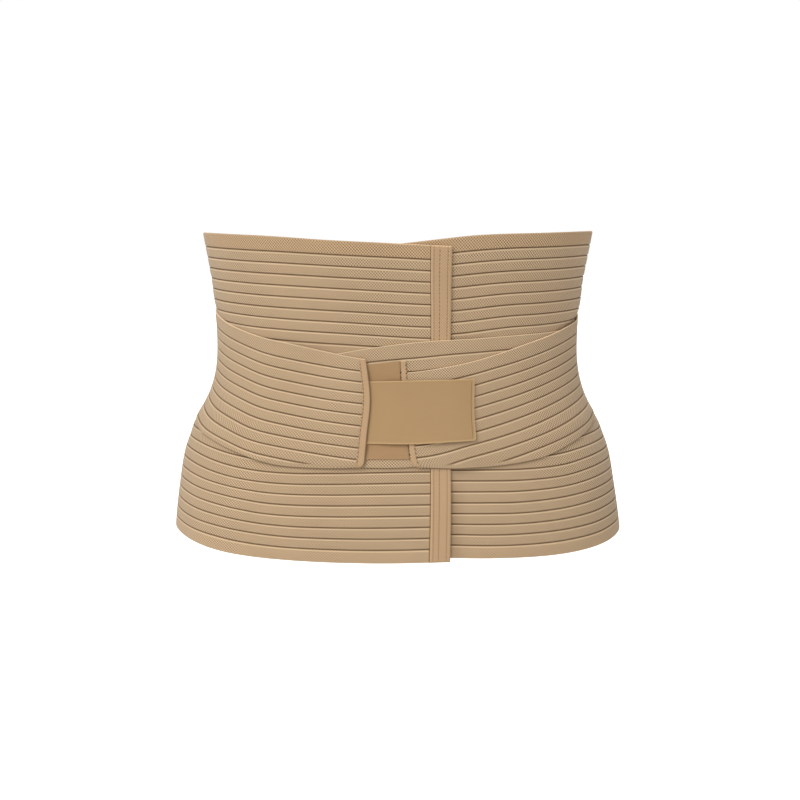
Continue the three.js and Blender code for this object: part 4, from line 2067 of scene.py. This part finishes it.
@dataclass
class StrapAssembly:
    """A tightening strap, the binding on its front end and its sewing."""

    side: str
    edges: tuple[Edges, ...]
    ribbing: Ribbing
    front: UprightEnd
    lift: Lift
    outward: int
    binding_lap: float
    binding_reach: float
    binding_corners: tuple[float, float]
    pull: tuple[RibPull, ...]
    binding_rise: float = 0.0
    binding_seam: float = 0.6
    fold_shade: float = 0.0
    tuck: float = 0.0
    spacing: float = 0.0032
    stitch_radius: float = 0.0006
    stitch_margin: float = 0.002
    rear_hem: float = 0.005
    rear_rows: tuple[float, ...] = (0.45, 1.3)
    rear_radius: float = 0.0004
    rear_margin: float = 0.003

    def build(self, under: Sequence[str]) -> dict[str, bpy.types.Object]:
        """Builds the pieces.

        Args:
            under: Names of the pieces that the strap lies on. Not used.

        Returns:
            The pieces by name.
        """
        edges = SmoothTable(self.edges)
        rear = -self.outward * STRAP_BACK_END
        ends = sorted((self.front.reach, rear))
        strap = RibbedStrap(
            name=f"{self.side}_strap_cloth",
            finish=RIBBED,
            thickness=self.ribbing.thickness,
            width=self.ribbing.width,
            start=ends[0],
            end=ends[1],
            edges=edges,
            lift=self.lift,
            lean=self.front.lean,
            spacing=self.spacing,
            tuck=self.tuck,
            drops=True,
            ribbing=self.ribbing,
            pull=SmoothTable(self.pull),
        )
        top, bottom = (float(value) for value in edges(self.front.reach))
        end_lift = self.lift(np.array([self.front.reach]))[0]
        binding = EdgeBinding(
            name=f"{self.side}_strap_binding_tape",
            finish=TAPE,
            thickness=BINDING_THICKNESS,
            width=top + self.binding_rise - bottom,
            start=self.front.reach,
            end=self.front.reach,
            edges=edges,
            lift=lambda angle: np.full(angle.shape, end_lift),
            lean=self.front.lean,
            spacing=self.spacing,
            host_thickness=self.ribbing.thickness,
            host_end=self.front.reach,
            outward=self.outward,
            lap=self.binding_lap,
            reach=self.binding_reach,
            rise=self.binding_rise,
            tuck=self.tuck,
            drops=True,
            seams=(-self.binding_seam * self.binding_lap,),
            corners=self.binding_corners,
            fold_shade=self.fold_shade,
        )
        seam = self.outward * binding.seams[0]
        line = Seam.downward(binding, seam, binding.width, self.stitch_margin, self.stitch_radius)
        made = {
            "strap": strap.build(),
            "binding": binding.build(),
            "sewing": sew(f"{self.side}_strap_stitches", [line, *self.rear_seams(strap)]),
        }
        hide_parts(f"{self.side}_strap")
        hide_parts(f"{self.side}_strap_binding")
        flat = strap.flat_size()
        return made

    def rear_seams(self, strap: RibbedStrap) -> list[Seam]:
        """Rows of stitches that hold the strap's rear end to the belt.

        Args:
            strap: The strap.

        Returns:
            The rows.
        """
        rows = []
        for share in self.rear_rows:
            inset = share * self.rear_hem
            along = inset if self.outward > 0 else strap.course.length - inset
            deep = float(strap.cut_width(strap.course.angle(np.array([along])))[0])
            rows.append(Seam.downward(strap, along, deep, self.rear_margin, self.rear_radius))
        return rows


@dataclass
class Closure:
    """The inner strap, the loop patch on it and the hook tab that closes over them."""

    spacing: float = 0.003
    inner_hem: float = 0.0068
    tab_stitch_inset: float = 0.004
    tab_stitch_radius: float = 0.0003

    def build(self) -> dict[str, bpy.types.Object]:
        """Builds the pieces.

        Returns:
            The pieces by name.
        """
        inner = RibbedStrap(
            name="inner_strap_cloth",
            finish=RIBBED,
            thickness=INNER_RIBS.thickness,
            width=INNER_RIBS.width,
            start=INNER_STRAP_START,
            end=INNER_STRAP_STOP,
            edges=INNER_EDGES,
            lift=inner_strap_lift,
            lean=upright,
            spacing=self.spacing,
            ribbing=INNER_RIBS,
            hem=self.inner_hem,
            pull=SmoothTable(INNER_RIB_PULL),
        )
        patch = ClothStrip(
            name="loop_patch_cloth",
            finish=LOOP,
            thickness=PATCH_THICKNESS,
            width=LOOP_PATCH_EDGES[0].top - LOOP_PATCH_EDGES[0].bottom,
            start=CLOSURE_START,
            end=PATCH_STOP,
            edges=SmoothTable(LOOP_PATCH_EDGES),
            lift=patch_lift,
            lean=self.patch_lean,
            spacing=self.spacing,
        )
        tab = HookTab(
            name="hook_tab_cloth",
            finish=HOOK,
            thickness=TAB_THICKNESS,
            width=HOOK_TAB_EDGES[0].top - HOOK_TAB_EDGES[0].bottom,
            start=CLOSURE_START,
            end=TAB_FRONT.reach,
            edges=SmoothTable(HOOK_TAB_EDGES),
            lift=hook_tab_lift,
            lean=TAB_FRONT.lean,
            spacing=self.spacing,
        )
        line = tab.course.length - tab.seam
        tab_row = Seam.downward(tab, line, tab.width, self.tab_stitch_inset, self.tab_stitch_radius)
        made = {
            "inner_strap": inner.build(),
            "loop_patch": patch.build(),
            "hook_tab": tab.build(),
            "sewing": sew("hook_tab_stitches", [tab_row]),
        }
        for node in ("inner_strap", "loop_patch", "hook_tab"):
            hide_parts(node)
        inner_flat = inner.flat_size()
        return made

    @staticmethod
    def patch_lean(angle: Array, height: Array) -> Array:
        """The patch's right end slants with the end of the right strap."""
        slant = RIGHT_FRONT.lean(np.full(angle.shape, RIGHT_FRONT.reach), height)
        return slant * smoothstep(CLOSURE_START, PATCH_STOP, angle)


# Studio

@dataclass(frozen=True)
class Studio:
    """Pale floor, soft light from the upper left and from behind, white surroundings and the camera."""

    target: tuple[float, float, float] = (0.002, 0.0, -0.0475)
    distance: float = 1.3
    elevation: float = 6.8
    lens: float = 68.04
    sensor: float = 36.0
    floor_drop: float = 0.85
    floor_size: float = 30.0
    floor_colour: tuple[float, float, float, float] = (0.8, 0.8, 0.8, 1.0)
    floor_roughness: float = 0.9
    floor_glow: float = 0.6
    lamp_angle: float = 35.0
    key_from: tuple[float, float, float] = (-0.55, -0.75, 0.85)
    key_strength: float = 1.78
    rear_from: tuple[float, float, float] = (0.1, 1.0, 0.7)
    rear_strength: float = 1.1
    ambient: float = 0.55

    def build(self, lowest: float) -> None:
        """Builds the stage.

        Args:
            lowest: Height of the object's lowest point.
        """
        self.floor(lowest - self.floor_drop)
        self.lamp("key_light", self.key_from, self.key_strength)
        self.lamp("rear_light", self.rear_from, self.rear_strength)
        self.surroundings()
        self.camera()
        bpy.context.scene.view_settings.view_transform = "Standard"

    def floor(self, height: float) -> None:
        """Builds the wide pale floor.

        Args:
            height: Height of the floor.
        """
        plane = bmesh.new()
        place = Matrix.Translation((0, 0, height))
        bmesh.ops.create_grid(plane, x_segments=1, y_segments=1, size=self.floor_size, matrix=place)
        mesh = bpy.data.meshes.new("floor")
        plane.to_mesh(mesh)
        plane.free()
        pale = bpy.data.materials.new("pale_floor")
        pale.use_nodes = True
        shader = pale.node_tree.nodes["Principled BSDF"]
        shader.inputs["Base Color"].default_value = self.floor_colour
        shader.inputs["Roughness"].default_value = self.floor_roughness
        shader.inputs["Emission Strength"].default_value = self.floor_glow
        seen = add_node(pale.node_tree, "ShaderNodeLightPath", {}).outputs["Is Camera Ray"]
        pale.node_tree.links.new(seen, shader.inputs["Emission Color"])
        mesh.materials.append(pale)
        made = bpy.data.objects.new("floor", mesh)
        bpy.context.scene.collection.objects.link(made)
        made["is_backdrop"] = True

    def lamp(self, name: str, place: tuple[float, float, float], strength: float) -> None:
        """Adds a broad soft light that shines towards the object.

        Args:
            name: Name of the light.
            place: Place that it shines from.
            strength: Its strength.
        """
        light = bpy.data.lights.new(name, "SUN")
        light.angle = math.radians(self.lamp_angle)
        light.energy = strength
        made = bpy.data.objects.new(name, light)
        made.location = place
        made.rotation_euler = (-Vector(place)).to_track_quat("-Z", "Y").to_euler()
        bpy.context.scene.collection.objects.link(made)

    def surroundings(self) -> None:
        """White surroundings, which light the object softly."""
        world = bpy.data.worlds.new("white_room")
        world.use_nodes = True
        tree = world.node_tree
        sky = tree.nodes["Background"]
        sky.inputs["Color"].default_value = (1, 1, 1, 1)
        seen = add_node(tree, "ShaderNodeLightPath", {}).outputs["Is Camera Ray"]
        extra = calculate(tree, "MULTIPLY", seen, 1 - self.ambient)
        tree.links.new(calculate(tree, "ADD", extra, self.ambient), sky.inputs["Strength"])
        bpy.context.scene.world = world

    def camera(self) -> None:
        """Camera at the photograph's viewing angle."""
        tilt = math.radians(self.elevation)
        forward = Vector((0, math.cos(tilt), -math.sin(tilt)))
        eye = bpy.data.cameras.new("camera")
        eye.lens = self.lens
        eye.sensor_width = self.sensor
        made = bpy.data.objects.new("camera", eye)
        made.location = Vector(self.target) - forward * self.distance
        made.rotation_euler = forward.to_track_quat("-Z", "Y").to_euler()
        bpy.context.scene.collection.objects.link(made)
        bpy.context.scene.camera = made


def main() -> None:
    """Builds the brace and its studio."""
    logging.basicConfig(level=logging.INFO, format="%(name)s: %(message)s")
    cad_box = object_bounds()
    woven_check_group()
    soft_tone_group()
    BeltAssembly().build()
    Closure().build()
    right = StrapAssembly(
        side="right",
        edges=RIGHT_STRAP_EDGES,
        ribbing=RIGHT_RIBS,
        front=RIGHT_FRONT,
        lift=right_strap_lift,
        outward=-1,
        binding_lap=0.0012,
        binding_reach=0.0032,
        binding_corners=(0.0015, 0.0030),
        binding_rise=0.010,
        pull=RIGHT_RIB_PULL,
    )
    right.build(under=["inner_strap_cloth", "main_belt_cloth"])
    left = StrapAssembly(
        side="left",
        edges=LEFT_STRAP_EDGES,
        ribbing=LEFT_RIBS,
        front=LEFT_FRONT,
        lift=left_strap_lift,
        outward=1,
        binding_lap=0.0017,
        binding_reach=0.0042,
        binding_corners=(0.0018, 0.0034),
        fold_shade=0.9,
        tuck=OVER_TAB + LAYER_GAP,
        pull=LEFT_RIB_PULL,
    )
    left.build(under=["main_belt_cloth", "inner_strap_cloth", "hook_tab_cloth"])
    Studio().build(lowest=cad_box[0].z)


if __name__ == "__main__":
    main()
